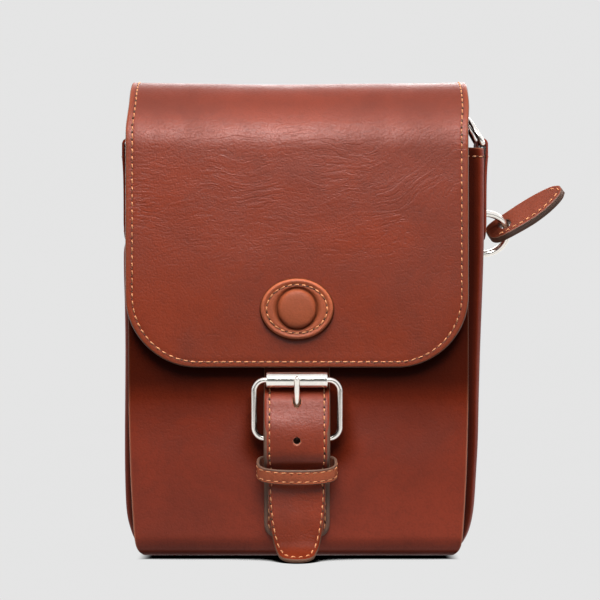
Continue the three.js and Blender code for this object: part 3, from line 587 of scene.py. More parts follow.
def wire(name, path, radius, closed, facing=None):
    """A round wire bent along a path. A wire with open ends gets round tips."""
    path = np.asarray(path, float)
    sides = bpy.context.scene.bag_metal.sides
    radii = np.broadcast_to(radius, len(path)).astype(float)
    if not closed:
        turns = np.radians([82, 60, 35, 12])
        start, end = unit(path[0] - path[1]), unit(path[-1] - path[-2])
        lead = [path[0] + start * radii[0] * math.sin(a) for a in turns]
        trail = [path[-1] + end * radii[-1] * math.sin(a) for a in turns[::-1]]
        tips = np.cos(turns)
        radii = np.concatenate([radii[0] * tips, radii, radii[-1] * tips[::-1]])
        path = np.concatenate([lead, path, trail])
        along = np.gradient(path, axis=0)
    else:
        along = np.roll(path, -1, axis=0) - np.roll(path, 1, axis=0)
    along = unit(along)
    facing = np.array([1.0, 0, 0]) if facing is None else np.asarray(facing, float)
    side = unit(np.cross(along, facing))
    up = np.cross(side, along)
    angles = full_turn(sides)[None, :, None]
    spread = radii[:, None, None] * (np.cos(angles) * side[:, None] + np.sin(angles) * up[:, None])
    return loft(name, path[:, None] + spread, closed)


def evenly(path, count, closed=True):
    """Points at even steps along a path of 2D or 3D points."""
    path = np.asarray(path, float)
    if closed:
        path = np.concatenate([path, path[:1]])
    steps = np.linalg.norm(np.diff(path, axis=0), axis=1)
    stations = np.concatenate([[0], np.cumsum(steps)])
    wanted = np.linspace(0, stations[-1], count, endpoint=not closed)
    return np.stack([np.interp(wanted, stations, column) for column in path.T], 1)


def rim_steps(wall, depth, fine=0.7):
    """Distances from a cut edge at which a sheet has points: close on its round, then even."""
    curve = 0.4 * wall * np.array([0, 0.06, 0.25, 0.6, 1])
    return np.concatenate([curve, np.arange(curve[-1] + fine, depth + fine / 2, fine)])


def spread_columns(halves, wall, depth, step):
    """Places across a pattern for each row's half width, finer near both edges."""
    rim = rim_steps(wall, depth)
    widest = np.max(halves)
    inner = max(int(round(2 * (widest - rim[-1]) / step)), 2)
    shares = np.linspace(-1, 1, inner + 1)[1:-1]
    halves = np.asarray(halves, float)[:, None]
    squeeze = np.minimum(1, halves / (1.25 * rim[-1]))
    left = -halves + rim[None] * squeeze
    middle = shares[None] * (halves - rim[-1] * squeeze)
    return np.concatenate([left, middle, -left[:, ::-1]], 1)


def pattern_grid(halves, rows, wall, depth, step):
    """Spots over a pattern: places across it for each row, and the rows repeated to match."""
    s = spread_columns(halves, wall, depth, step)
    return s, np.broadcast_to(rows[:, None], s.shape)


def spread_rows(length, wall, depth, step, ends=(True, True)):
    """Places along a pattern, finer near the ends that show a cut edge."""
    rim = rim_steps(wall, depth)
    start = rim if ends[0] else rim[[0, 2, 4]]
    end = length - (rim if ends[1] else rim[[0, 2, 4]])[::-1]
    count = max(int(round((end[0] - start[-1]) / step)), 2)
    return np.concatenate([start, np.linspace(start[-1], end[0], count + 1)[1:-1], end])


def strip_outline(halves, rows):
    """Edge of a pattern from the half width at each place along it."""
    right = np.stack([halves, rows], 1)
    return np.concatenate([right, right[::-1] * [-1, 1]])


def groove(d, inset, depth=0.16, width=0.75):
    """The shallow dip that a stitch line presses into the leather."""
    return -depth * np.exp(-(((d - inset) / width) ** 2))


def finish_piece(piece, body, slot, *nodes, material=None):
    """Gives a finished piece its material and its body, and hides the imported nodes that it stands for. Its slot
    is not used.
    """
    if material is not None:
        piece.data.materials.clear()
        piece.data.materials.append(material)
    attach(piece, body)
    if nodes:
        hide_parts(*nodes)
    return piece


def plain_mesh(piece):
    """Swaps a piece's mesh for its evaluated one, and drops its modifiers."""
    evaluated = piece.evaluated_get(bpy.context.evaluated_depsgraph_get())
    mesh = bpy.data.meshes.new_from_object(evaluated)
    mesh.name = piece.name
    piece.modifiers.clear()
    piece.data = mesh
    return piece


def punch(piece, tool):
    """Cuts a tool's shape out of a piece, and takes the tool away."""
    cutter = piece.modifiers.new("Punch", "BOOLEAN")
    cutter.object = tool
    cutter.operation = "DIFFERENCE"
    cutter.solver = "EXACT"
    plain_mesh(piece)
    bpy.data.objects.remove(tool)
    return piece


def rod(name, start, end, radius, sides=28):
    """A plain round rod, used to punch holes."""
    start, end = np.asarray(start, float), np.asarray(end, float)
    along = unit(end - start)
    side = unit(np.cross(along, [0.31, 0.17, 0.94]))
    up = np.cross(along, side)
    angles = full_turn(sides)[:, None]
    ring = radius * (np.cos(angles) * side + np.sin(angles) * up)
    return loft(name, [start + ring, end + ring], False)


def feed(tree, node, sockets):
    """Sets a node's sockets to values, or links them to other sockets."""
    for label, value in sockets.items():
        if isinstance(value, bpy.types.NodeSocket):
            tree.links.new(value, node.inputs[label])
        else:
            node.inputs[label].default_value = value


def add_node(tree, kind, sockets=None, **settings):
    """A node with its settings, and its sockets set to values or linked to other sockets."""
    node = tree.nodes.new(kind)
    for label, value in settings.items():
        setattr(node, label, value)
    feed(tree, node, sockets or {})
    return node


def new_group(name, kind, inputs, outputs):
    """A node group with named sockets, and its input and output nodes."""
    tree = bpy.data.node_groups.new(name, kind)
    for label, socket, value in inputs:
        made = tree.interface.new_socket(label, in_out="INPUT", socket_type="NodeSocket" + socket)
        if value is not None:
            made.default_value = value
    for label, socket in outputs:
        tree.interface.new_socket(label, in_out="OUTPUT", socket_type="NodeSocket" + socket)
    return tree, tree.nodes.new("NodeGroupInput"), tree.nodes.new("NodeGroupOutput")


def maths(tree, operation, first, second=0.0, clamp=False):
    """The result socket of a math node."""
    node = add_node(tree, "ShaderNodeMath", {0: first, 1: second}, operation=operation, use_clamp=clamp)
    return node.outputs[0]


def times(tree, first, second):
    """The product of two values."""
    return maths(tree, "MULTIPLY", first, second)


def object_spot(tree):
    """The place on the part itself, in metres."""
    return add_node(tree, "ShaderNodeTexCoord").outputs["Object"]


def parts_of(tree, vector):
    """The X, Y and Z of a vector."""
    return add_node(tree, "ShaderNodeSeparateXYZ", {"Vector": vector}).outputs


def noise(tree, vector, scale, detail, **more):
    """The outputs of a noise texture."""
    sockets = {"Vector": vector, "Scale": scale, "Detail": detail, **more}
    return add_node(tree, "ShaderNodeTexNoise", sockets).outputs


def bumped(tree, height, strength, distance, **more):
    """A normal bumped by a height."""
    sockets = {"Height": height, "Strength": strength, "Distance": distance, **more}
    return add_node(tree, "ShaderNodeBump", sockets).outputs[0]


def ramp(tree, value, low, high, to_low=0.0, to_high=1.0):
    """A value eased from one range to another."""
    sockets = {"Value": value, "From Min": low, "From Max": high, "To Min": to_low, "To Max": to_high}
    node = add_node(tree, "ShaderNodeMapRange", sockets, interpolation_type="SMOOTHSTEP")
    return node.outputs[0]


def blend_colour(tree, share, first, second):
    """The result socket of a colour mix."""
    node = add_node(tree, "ShaderNodeMix", {0: share, 6: first, 7: second}, data_type="RGBA")
    return node.outputs[2]


def grain_group(name):
    """Pebbled leather grain: a height, and a mask of the pits between the pebbles."""
    tree, source, result = new_group(
        name, "ShaderNodeTree", [("Pebble Size", "Float", 0.0011)], [("Height", "Float"), ("Pits", "Float")],
    )
    spot = object_spot(tree)
    scale = maths(tree, "DIVIDE", 1.0, source.outputs["Pebble Size"])
    warp = noise(tree, spot, times(tree, scale, 0.5), 2.0)
    bend = add_node(
        tree, "ShaderNodeVectorMath", {0: warp["Color"], 1: (0.0012, 0.0012, 0.0012), 2: spot},
        operation="MULTIPLY_ADD",
    )
    cells = add_node(
        tree, "ShaderNodeTexVoronoi", {"Vector": bend.outputs[0], "Scale": scale, "Smoothness": 0.35},
        feature="SMOOTH_F1",
    )
    fine = noise(tree, spot, times(tree, scale, 2.2), 3.0, Roughness=0.6)
    pits = ramp(tree, cells.outputs["Distance"], 0.35, 0.85)
    height = maths(tree, "SUBTRACT", times(tree, fine[0], 0.55), times(tree, pits, 0.6))
    feed(tree, result, {"Height": height, "Pits": pits})
    return tree


def wrinkle_group(name):
    """Fine creases that run across the bag and may sweep up at one side: a height, and their valleys."""
    tree, source, result = new_group(
        name, "ShaderNodeTree", [("Spacing", "Float", 0.002), ("Stretch", "Float", 5.0), ("Sweep", "Float", 0.0)],
        [("Height", "Float"), ("Valleys", "Float")],
    )
    spot = object_spot(tree)
    place = parts_of(tree, spot)
    slow = noise(tree, spot, 26.0, 1.0)
    rise = times(tree, ramp(tree, place["X"], *SWEEP_X), ramp(tree, place["Z"], *SWEEP_Z))
    level_line = maths(tree, "SUBTRACT", place["Z"], times(tree, rise, source.outputs["Sweep"]))
    level_line = maths(tree, "ADD", level_line, times(tree, slow[0], 0.02))
    scale = maths(tree, "DIVIDE", 1.0, source.outputs["Spacing"])
    drawn = add_node(
        tree, "ShaderNodeCombineXYZ",
        {
            "X": times(tree, place["X"], maths(tree, "DIVIDE", scale, source.outputs["Stretch"])),
            "Y": times(tree, place["Y"], scale), "Z": times(tree, level_line, scale),
        },
    )
    lines = noise(tree, drawn.outputs[0], 0.6, 2.5, Roughness=0.5, Distortion=0.35)
    cloud = noise(tree, spot, 34.0, 2.0)
    smooth_top = ramp(tree, place["Z"], *SMOOTH_TOP_Z, 1.0, 0.15)
    shown = times(tree, ramp(tree, cloud[0], 0.34, 0.62, 0.3, 1.0), smooth_top)
    away = maths(tree, "ABSOLUTE", maths(tree, "SUBTRACT", lines[0], 0.5))
    valleys = times(tree, ramp(tree, away, 0.0, 0.06, 1.0, 0.0), shown)
    height = maths(tree, "SUBTRACT", times(tree, lines[0], shown), times(tree, valleys, 0.22))
    feed(tree, result, {"Height": height, "Valleys": valleys})
    return tree


def tone_group(name):
    """Cloudy colour of dyed leather: a broad tone, and small darker marks."""
    tree, source, result = new_group(
        name, "ShaderNodeTree", [("Cloud Size", "Float", 0.05)], [("Tone", "Float"), ("Marks", "Float")],
    )
    spot = object_spot(tree)
    scale = maths(tree, "DIVIDE", 1.0, source.outputs["Cloud Size"])
    cloud = noise(tree, spot, scale, 5.0, Roughness=0.62, Distortion=0.4)
    small = noise(tree, spot, times(tree, scale, 9.0), 4.0, Roughness=0.65)
    feed(tree, result, {"Tone": ramp(tree, cloud[0], 0.3, 0.7), "Marks": ramp(tree, small[0], 0.48, 0.74)})
    return tree


def edge_group(name):
    """Where a sheet is cut: the painted edge, the lighter rim beside it (on the body a painted highlight), the
    flesh side, and how dark each spot is made: painted shade, and on the badge's dome its own darker tone.
    """
    tree, source, result = new_group(
        name, "ShaderNodeTree", [("Paint Width", "Float", 0.55), ("Rim Width", "Float", 1.4)],
        [("Paint", "Float"), ("Rim", "Float"), ("Flesh", "Float"), ("Press", "Float")],
    )
    width, rim_width = source.outputs["Paint Width"], source.outputs["Rim Width"]
    rough = noise(tree, object_spot(tree), 420.0, 3.0)
    wander = times(tree, times(tree, maths(tree, "SUBTRACT", rough[0], 0.5), 0.7), width)
    cut, flesh, press = (
        add_node(tree, "ShaderNodeAttribute", attribute_name=layer).outputs["Fac"]
        for layer in ("edge", "flesh", "press")
    )
    uneven = maths(tree, "ADD", cut, wander)
    feed(tree, result, {
        "Paint": ramp(tree, uneven, times(tree, width, 0.6), width, 1.0, 0.0),
        "Rim": ramp(tree, uneven, width, rim_width, 1.0, 0.0),
        "Flesh": ramp(tree, flesh, 0.4, 0.6),
        "Press": maths(tree, "MULTIPLY", press, 1.0, clamp=True),
    })
    return tree


def use_group(tree, name, build, **values):
    """A shared group placed in a material with its own values. It is built when first asked for."""
    group = bpy.data.node_groups.get(name) or build(name)
    node = add_node(tree, "ShaderNodeGroup", node_tree=group)
    for label, value in values.items():
        node.inputs[label.replace("_", " ").title()].default_value = value
    return node.outputs


def shade(colour, amount):
    """A colour made darker or lighter."""
    return tuple(min(part * amount, 1.0) for part in colour[:3]) + (1.0,)


def new_material(name):
    """A material's node tree and its surface shader."""
    material = bpy.data.materials.new(name)
    material.use_nodes = True
    return material, material.node_tree, material.node_tree.nodes["Principled BSDF"]


def tinted(colour, parts):
    """A colour with its red, green and blue parts scaled."""
    return tuple(np.multiply(colour[:3], parts)) + (1.0,)


def leather(
    name, colour, creases, rim, paint=0.55, sweep=0.0, grain=1.0, crown_shade=1.0, bare=(), low_creases=1.0,
):
    """Waxed leather in one colour. Asked for twice, it is made once.

    creases is their strength and spacing, their valleys painted darker as shade, rim the width, strength and
    colour of the band inside the painted edge, on the body a painted highlight, crown_shade the share of the
    colour that is left on the top of the bag under its painted shade, bare the places and the sizes of painted
    highlights on the lower lips of holes, and low_creases the share of the creases on the lower flap.
    """
    if name in bpy.data.materials:
        return bpy.data.materials[name]
    finish = bpy.context.scene.bag_leather
    strength, spacing = creases
    rim_width, rim_strength, rim_colour = rim
    material, tree, surface = new_material(name)
    pebble = use_group(tree, "Leather grain", grain_group, pebble_size=finish.grain_size)
    folds = use_group(tree, "Leather wrinkles", wrinkle_group, spacing=spacing, sweep=sweep)
    tone = use_group(tree, "Leather tone", tone_group)
    cut = use_group(tree, "Cut edge", edge_group, paint_width=paint, rim_width=rim_width)
    spot = object_spot(tree)
    height = parts_of(tree, spot)["Z"]
    shown = blend_colour(tree, tone["Tone"], shade(colour, 0.79), shade(colour, 1.18))
    shown = blend_colour(tree, times(tree, tone["Marks"], 0.22), shown, shade(colour, 0.55))
    # Painted shade: the top of the bag keeps only crown_shade of its colour
    shown = add_node(
        tree, "ShaderNodeMix", {0: ramp(tree, height, *CROWN_Z), 6: shown, 7: (crown_shade, crown_shade, crown_shade, 1.0)},
        data_type="RGBA", blend_type="MULTIPLY",
    ).outputs[2]
    creased_here = ramp(tree, height, *CREASED_Z, low_creases, 1.0)
    crease_shade = times(tree, folds["Valleys"], times(tree, creased_here, 0.2 * strength))
    # Crease valleys and press spots get painted shade, the grain's pits their own darker colour, and the rim a
    # lighter band, on the body a painted highlight
    for mask, over in (
        (crease_shade, shade(colour, 0.5)),
        (times(tree, pebble["Pits"], 0.2), shade(colour, 0.5)),
        (times(tree, cut["Rim"], rim_strength), rim_colour),
        (times(tree, cut["Press"], 0.9), shade(colour, 0.12)),
    ):
        shown = blend_colour(tree, mask, shown, over)
    # Painted highlight: a pale crescent on the lower lip of each hole
    for x, z, radius in bare:
        flat = add_node(tree, "ShaderNodeVectorMath", {0: spot, 1: (1.0, 0.0, 1.0)}, operation="MULTIPLY")
        hole = (x * MM, 0.0, z * MM)
        away = add_node(tree, "ShaderNodeVectorMath", {0: flat.outputs[0], 1: hole}, operation="DISTANCE")
        lip_highlight = ramp(tree, away.outputs["Value"], radius * MM, (radius + 0.7) * MM, 0.75, 0.0)
        shown = blend_colour(tree, lip_highlight, shown, tinted(colour, (1.9, 4.2, 6.5)))
    shown = blend_colour(tree, cut["Flesh"], shown, shade(colour, 0.3))
    gloss = ramp(tree, tone["Tone"], 0.0, 1.0, 0.44, 0.33)
    gloss = maths(tree, "ADD", gloss, times(tree, cut["Flesh"], 0.35))
    creased = bumped(tree, folds["Height"], times(tree, creased_here, 0.42 * strength), 0.0004)
    feed(tree, surface, {
        "Base Color": blend_colour(tree, cut["Paint"], shown, finish.edge_colour),
        "Roughness": maths(tree, "ADD", gloss, times(tree, pebble["Pits"], 0.08)),
        "Normal": bumped(tree, pebble["Height"], 0.3 * grain, 0.0002, Normal=creased),
        "Specular IOR Level": ramp(tree, cut["Press"], 0.0, 0.5, 0.32, 0.03),
    })
    return material


def flap_leather():
    """Leather of the flap, with the most creases, an orange rim outside its seam and painted shade on its top."""
    finish = bpy.context.scene.bag_leather
    rim = (3.4, 0.45, tinted(finish.flap_colour, (1.25, 1.7, 1.5)))
    creases = (1.0, finish.crease_spacing)
    return leather("flap leather", finish.flap_colour, creases, rim, sweep=0.026, crown_shade=0.58, low_creases=0.25)


def body_leather():
    """Smoother leather of the body, the sides and the ring tabs, with a pale band inside its cut edge: a painted
    highlight.
    """
    colour = bpy.context.scene.bag_leather.body_colour
    rim = (1.25, 0.85, tinted(colour, (2.0, 5.2, 7.5)))
    return leather("body leather", colour, (0.35, 0.0035), rim, paint=0.12)


def strap_leather():
    """Leather of the straps and the pull's loop, with grey-brown edges and painted highlights on the lower lips of
    its holes.
    """
    colour = bpy.context.scene.bag_leather.strap_colour
    return leather("strap leather", colour, (0.6, 0.0025), (1.5, 0.35, shade(colour, 1.5)), bare=HOLE_LIP_HIGHLIGHTS)


def pull_leather():
    """Browner leather of the pull, with fewer creases than the straps."""
    colour = tinted(bpy.context.scene.bag_leather.strap_colour, (0.72, 1.05, 1.4))
    return leather("pull leather", colour, (0.4, 0.0025), (1.5, 0.35, shade(colour, 1.5)))


def badge_leather():
    """Lighter leather of the badge."""
    colour = bpy.context.scene.bag_leather.badge_colour
    return leather("badge leather", colour, (0.3, 0.003), (1.3, 0.2, tinted(colour, (1.3, 1.8, 2.0))), grain=0.8)


def keeper_leather():
    """The badge's leather made darker for the keeper: a copy with painted shade."""
    colour = shade(bpy.context.scene.bag_leather.badge_colour, 0.82)
    return leather("keeper leather", colour, (0.3, 0.003), (1.3, 0.4, shade(colour, 1.4)), grain=0.8)


def thread_material():
    """Waxed thread with a twist and uneven dye."""
    if "thread" in bpy.data.materials:
        return bpy.data.materials["thread"]
    colour = bpy.context.scene.bag_leather.thread_colour
    material, tree, surface = new_material("thread")
    tone = use_group(tree, "Leather tone", tone_group, cloud_size=0.012)
    shown = blend_colour(tree, tone["Tone"], shade(colour, 0.72), shade(colour, 1.12))
    twist = add_node(
        tree, "ShaderNodeTexWave", {"Vector": object_spot(tree), "Scale": 900.0, "Distortion": 1.5},
        bands_direction="DIAGONAL",
    ).outputs["Fac"]
    feed(tree, surface, {
        "Base Color": blend_colour(tree, times(tree, twist, 0.35), shown, shade(colour, 0.6)),
        "Roughness": ramp(tree, twist, 0.0, 1.0, 0.5, 0.7),
        "Normal": bumped(tree, twist, 0.4, 0.0001),
    })
    return material


def hole_material():
    """The dark inside of a needle hole."""
    if "needle hole" in bpy.data.materials:
        return bpy.data.materials["needle hole"]
    colour = bpy.context.scene.bag_leather.edge_colour
    material, tree, surface = new_material("needle hole")
    tone = use_group(tree, "Leather tone", tone_group, cloud_size=0.004)
    feed(tree, surface, {
        "Base Color": blend_colour(tree, tone["Tone"], shade(colour, 0.5), shade(colour, 1.0)),
        "Roughness": ramp(tree, tone["Marks"], 0.0, 1.0, 0.7, 0.9),
        "Specular IOR Level": 0.1,
    })
    return material


def satin_metal():
    """Satin plated steel with fine rub marks."""
    if "satin metal" in bpy.data.materials:
        return bpy.data.materials["satin metal"]
    colour = bpy.context.scene.bag_metal.colour
    material, tree, surface = new_material("satin metal")
    tone = use_group(tree, "Leather tone", tone_group, cloud_size=0.01)
    shown = blend_colour(tree, tone["Tone"], shade(colour, 0.95), shade(colour, 1.04))
    drawn = add_node(
        tree, "ShaderNodeVectorMath", {0: object_spot(tree), 1: (300.0, 2600.0, 2600.0)}, operation="MULTIPLY",
    )
    brushed = noise(tree, drawn.outputs[0], 1.0, 3.0)[0]
    feed(tree, surface, {
        "Base Color": blend_colour(tree, times(tree, tone["Marks"], 0.12), shown, shade(colour, 0.6)),
        "Roughness": ramp(tree, brushed, 0.3, 0.7, 0.16, 0.23),
        "Normal": bumped(tree, brushed, 0.03, 0.0001),
        "Metallic": 1.0,
    })
    return material


def stitch_tree():
    """Geometry nodes that sew a path: arched threads along it, and a needle hole between each two."""
    if "Stitches" in bpy.data.node_groups:
        return bpy.data.node_groups["Stitches"]
    inputs = [
        ("Geometry", "Geometry", None), ("Pitch", "Float", 0.004), ("Thread Radius", "Float", 0.0004),
        ("Arch", "Float", 0.0005), ("Hole Radius", "Float", 0.0005), ("Slant", "Float", 0.0), ("Seed", "Int", 0),
        ("Thread", "Material", None), ("Hole", "Material", None),
    ]
    tree, source, result = new_group("Stitches", "GeometryNodeTree", inputs, [("Geometry", "Geometry")])
    given = source.outputs
    curve = add_node(tree, "GeometryNodeMeshToCurve", {"Mesh": given["Geometry"]})
    points = add_node(
        tree, "GeometryNodeCurveToPoints", {"Curve": curve.outputs[0], "Length": given["Pitch"]}, mode="LENGTH",
    )
    facing = add_node(tree, "GeometryNodeInputNamedAttribute", {"Name": "facing"}, data_type="FLOAT_VECTOR")
    upright = add_node(
        tree, "FunctionNodeAxesToRotation",
        {"Primary Axis": facing.outputs[0], "Secondary Axis": points.outputs["Tangent"]},
        primary_axis="Z", secondary_axis="X",
    )
    wander = add_node(
        tree, "FunctionNodeRandomValue", {2: -0.07, 3: 0.07, "Seed": given["Seed"]}, data_type="FLOAT",
    )
    angle = maths(tree, "ADD", wander.outputs[1], given["Slant"])
    slanted = add_node(tree, "FunctionNodeAxisAngleToRotation", {"Axis": (0.0, 0.0, 1.0), "Angle": angle})
    turned = add_node(
        tree, "FunctionNodeRotateRotation", {"Rotation": upright.outputs[0], "Rotate By": slanted.outputs[0]},
        rotation_space="LOCAL",
    )
    size = add_node(
        tree, "FunctionNodeRandomValue", {0: (0.94, 0.9, 0.85), 1: (1.04, 1.1, 1.15), "Seed": given["Seed"]},
        data_type="FLOAT_VECTOR",
    )
    half = times(tree, given["Pitch"], 0.3)
    sunk = times(tree, given["Thread Radius"], -1.1)
    ends = {
        "Start": {"X": times(tree, half, -1.0), "Z": sunk}, "Middle": {"Z": times(tree, given["Arch"], 1.9)},
        "End": {"X": half, "Z": sunk},
    }
    ends = {label: add_node(tree, "ShaderNodeCombineXYZ", parts).outputs[0] for label, parts in ends.items()}
    arch = add_node(tree, "GeometryNodeCurveQuadraticBezier", {"Resolution": 7, **ends})
    profile = add_node(
        tree, "GeometryNodeCurvePrimitiveCircle", {"Resolution": 6, "Radius": given["Thread Radius"]},
    )
    thread = add_node(
        tree, "GeometryNodeCurveToMesh",
        {"Curve": arch.outputs[0], "Profile Curve": profile.outputs[0], "Fill Caps": True},
    )
    hole = add_node(
        tree, "GeometryNodeMeshCone",
        {"Vertices": 8, "Radius Top": 0.0, "Radius Bottom": given["Hole Radius"], "Depth": 0.00014},
    )
    aside = add_node(tree, "ShaderNodeCombineXYZ", {"X": times(tree, given["Pitch"], 0.5), "Z": -0.00005})
    beside = add_node(
        tree, "GeometryNodeTransform",
        {"Geometry": hole.outputs[0], "Translation": aside.outputs[0], "Scale": (1.25, 1.0, 1.0)},
    )
    parts = []
    for shape, scale, finish in ((thread, size.outputs[0], "Thread"), (beside, (1.0, 1.0, 1.0), "Hole")):
        sown = add_node(
            tree, "GeometryNodeInstanceOnPoints",
            {
                "Points": points.outputs["Points"], "Instance": shape.outputs[0], "Scale": scale,
                "Rotation": turned.outputs[0],
            },
        )
        real = add_node(tree, "GeometryNodeRealizeInstances", {"Geometry": sown.outputs[0]})
        smooth = add_node(tree, "GeometryNodeSetShadeSmooth", {"Geometry": real.outputs[0]})
        parts.append(
            add_node(tree, "GeometryNodeSetMaterial", {"Geometry": smooth.outputs[0], "Material": given[finish]})
        )
    joined = add_node(tree, "GeometryNodeJoinGeometry")
    for part in reversed(parts):
        tree.links.new(part.outputs[0], joined.inputs[0])
    tree.links.new(joined.outputs[0], result.inputs[0])
    return tree


def sew(name, body, seams, **own):
    """Stitches along seams, each a pair of points in millimetres and the way the leather looks there."""
    sizes = bpy.context.scene.bag_stitching
    points, edges, facing = [], [], []
    for spots, out in seams:
        start = sum(len(run) for run in points)
        edges += [(start + i, start + i + 1) for i in range(len(spots) - 1)]
        points.append(np.asarray(spots, float))
        facing.append(np.asarray(out, float))
    mesh = bpy.data.meshes.new(name)
    mesh.from_pydata((np.concatenate(points) * MM).tolist(), edges, [])
    layer = mesh.attributes.new("facing", "FLOAT_VECTOR", "POINT")
    layer.data.foreach_set("vector", np.concatenate(facing).astype(np.float32).ravel())
    piece = new_object(name, mesh)
    values = {
        "Pitch": sizes.pitch, "Thread Radius": sizes.thread_radius, "Arch": sizes.arch, "Slant": sizes.slant,
        "Hole Radius": sizes.hole_radius, "Seed": sizes.seed, "Thread": thread_material(), "Hole": hole_material(),
    }
    values.update({label.replace("_", " ").title(): value for label, value in own.items()})
    tree = stitch_tree()
    modifier = piece.modifiers.new("Stitches", "NODES")
    modifier.node_group = tree
    for socket in tree.interface.items_tree:
        if socket.in_out == "INPUT" and socket.name in values:
            modifier[socket.identifier] = values[socket.name]
    plain_mesh(piece)
    if not piece.data.polygons:
        raise RuntimeError(f"{name} has no stitches")
    return finish_piece(piece, body, "thread")


def body_half(z):
    """Half width of the body at a height."""
    return eased(BODY_HALF_WIDTHS, z)


def belly(z):
    """How far the stuffed front stands out at a height."""
    reach = np.clip((np.asarray(z, float) - BELLY_Z) / BELLY_REACH, -1, 1)
    return BELLY * np.cos(reach * math.pi / 2) ** 2


def straight(start, end, count=160):
    """Points of a straight run in a side view."""
    return np.linspace(start, end, count)


def dressed_rows(rows, start, end, step):
    """Rows of a pattern, with closer ones over a bend."""
    extra = np.arange(start, end, step)
    kept = rows[(rows < start - step / 2) | (rows > extra[-1] + step / 2)]
    return np.sort(np.concatenate([kept, extra]))


def build_body_wrap():
    """The wall that is the front, the base and the back."""
    front_bend = (WRAP_FRONT_Y + WRAP_BEND, WRAP_BEND)
    back_bend = (WRAP_BACK_Y - WRAP_BEND, WRAP_BEND)
    line = SideLine(np.concatenate([
        straight((WRAP_FRONT_Y, WRAP_FRONT_TOP), (WRAP_FRONT_Y, WRAP_BEND + 0.1)),
        arc(front_bend, WRAP_BEND, 180, 270, 48),
        arc(back_bend, WRAP_BEND, 270, 360, 48),
        straight((WRAP_BACK_Y, WRAP_BEND + 0.1), (WRAP_BACK_Y, WRAP_BACK_TOP)),
    ]))

    def place(s, t):
        y, z = line.at(t)
        out_y, out_z = line.outwards(t)
        share = s / body_half(z)
        lift = np.where(y < 0, belly(z) * (1 - BELLY_SIDE_FADE * share**2), 0)
        return np.stack([s + BODY_SHIFT, y + out_y * lift, z + out_z * lift], -1)

    def relief(s, t, d):
        fade = rising(d, 0, 12) * rising(np.abs(s), 18, 12) * rising(line.at(t)[1], 10, 25)
        return (0.28 * ripple(s, t, seed=5, length=75) + 0.1 * ripple(s, t, seed=11, length=22)) * fade

    rows = spread_rows(line.length, WRAP_WALL, depth=2, step=3.4)
    fold = WRAP_FRONT_TOP - WRAP_BEND
    base = line.length - fold - (WRAP_BACK_TOP - WRAP_BEND)
    rows = dressed_rows(rows, fold - 4, fold + base + 4, 1.5)
    halves = body_half(line.at(rows)[1])
    sheet = LeatherSheet(place, strip_outline(halves, rows), WRAP_WALL, outer_share=0, turn=-1, relief=relief)
    s, t = pattern_grid(halves, rows, WRAP_WALL, depth=4.5, step=3.6)
    y, z = line.at(t)
    # Painted shade: under the flap, round the buckle, and along the bottom edge of the wall
    beside_buckle = BUCKLE_SHADE * rising(np.abs(s), 37, -15) ** 1.4 * rising(z, 44, 14)
    shaded = np.where(y < 0, np.maximum(listed(FRONT_SHADE, z), beside_buckle), 0)
    shaded = np.maximum(shaded, BASE_SHADE * rising(z, 4.2, -1.6))
    piece = sheet.mesh("body_wall", s, t, press=shaded)
    finish_piece(piece, "bag", "leather", "body_wrap", material=body_leather())


def gusset_reach(side, z, form):
    """Distance of a gusset's outer face from the middle of the bag, at a height and a fold."""
    edge = body_half(z) - GUSSET_INSET
    lobe = eased(LOBE_REACH[side], z)
    rear = edge + (lobe - edge) * REAR_LOBE_SHARE
    slack = (lobe + rear) / 2
    crease = slack + (edge - CREASE_DEPTH - slack) * smoothed(rising(z, 14, 46))
    return {"edge": edge, "lobe": lobe, "rear": rear, "crease": crease}[form]


def gusset_place(side, sign):
    """The function that places spots of a gusset's pattern: s across its depth, t its height."""
    clear = WRAP_WALL + WALL_CLEARANCE
    bend = WRAP_BEND - clear

    def place(s, t):
        share = np.clip(s / GUSSET_SPAN, 0, 1)
        below = np.maximum(WRAP_BEND - t, 0)
        tuck = bend - np.sqrt(np.maximum(bend**2 - below**2, 0))
        front = WRAP_FRONT_Y + clear - belly(t) * (1 - BELLY_SIDE_FADE) + tuck
        back = WRAP_BACK_Y - clear - tuck
        x = np.zeros(np.broadcast(s, t).shape)
        for (start, form), (end, next_form) in zip(GUSSET_FOLDS, GUSSET_FOLDS[1:]):
            along = (share - start) / (end - start)
            ease = (1 - np.cos(math.pi * np.clip(along, 0, 1))) / 2
            near, far = gusset_reach(side, t, form), gusset_reach(side, t, next_form)
            x = np.where((along >= 0) & (along <= 1), near + (far - near) * ease, x)
        return np.stack([sign * x + BODY_SHIFT, front + (back - front) * share, t + 0 * s], -1)

    return place


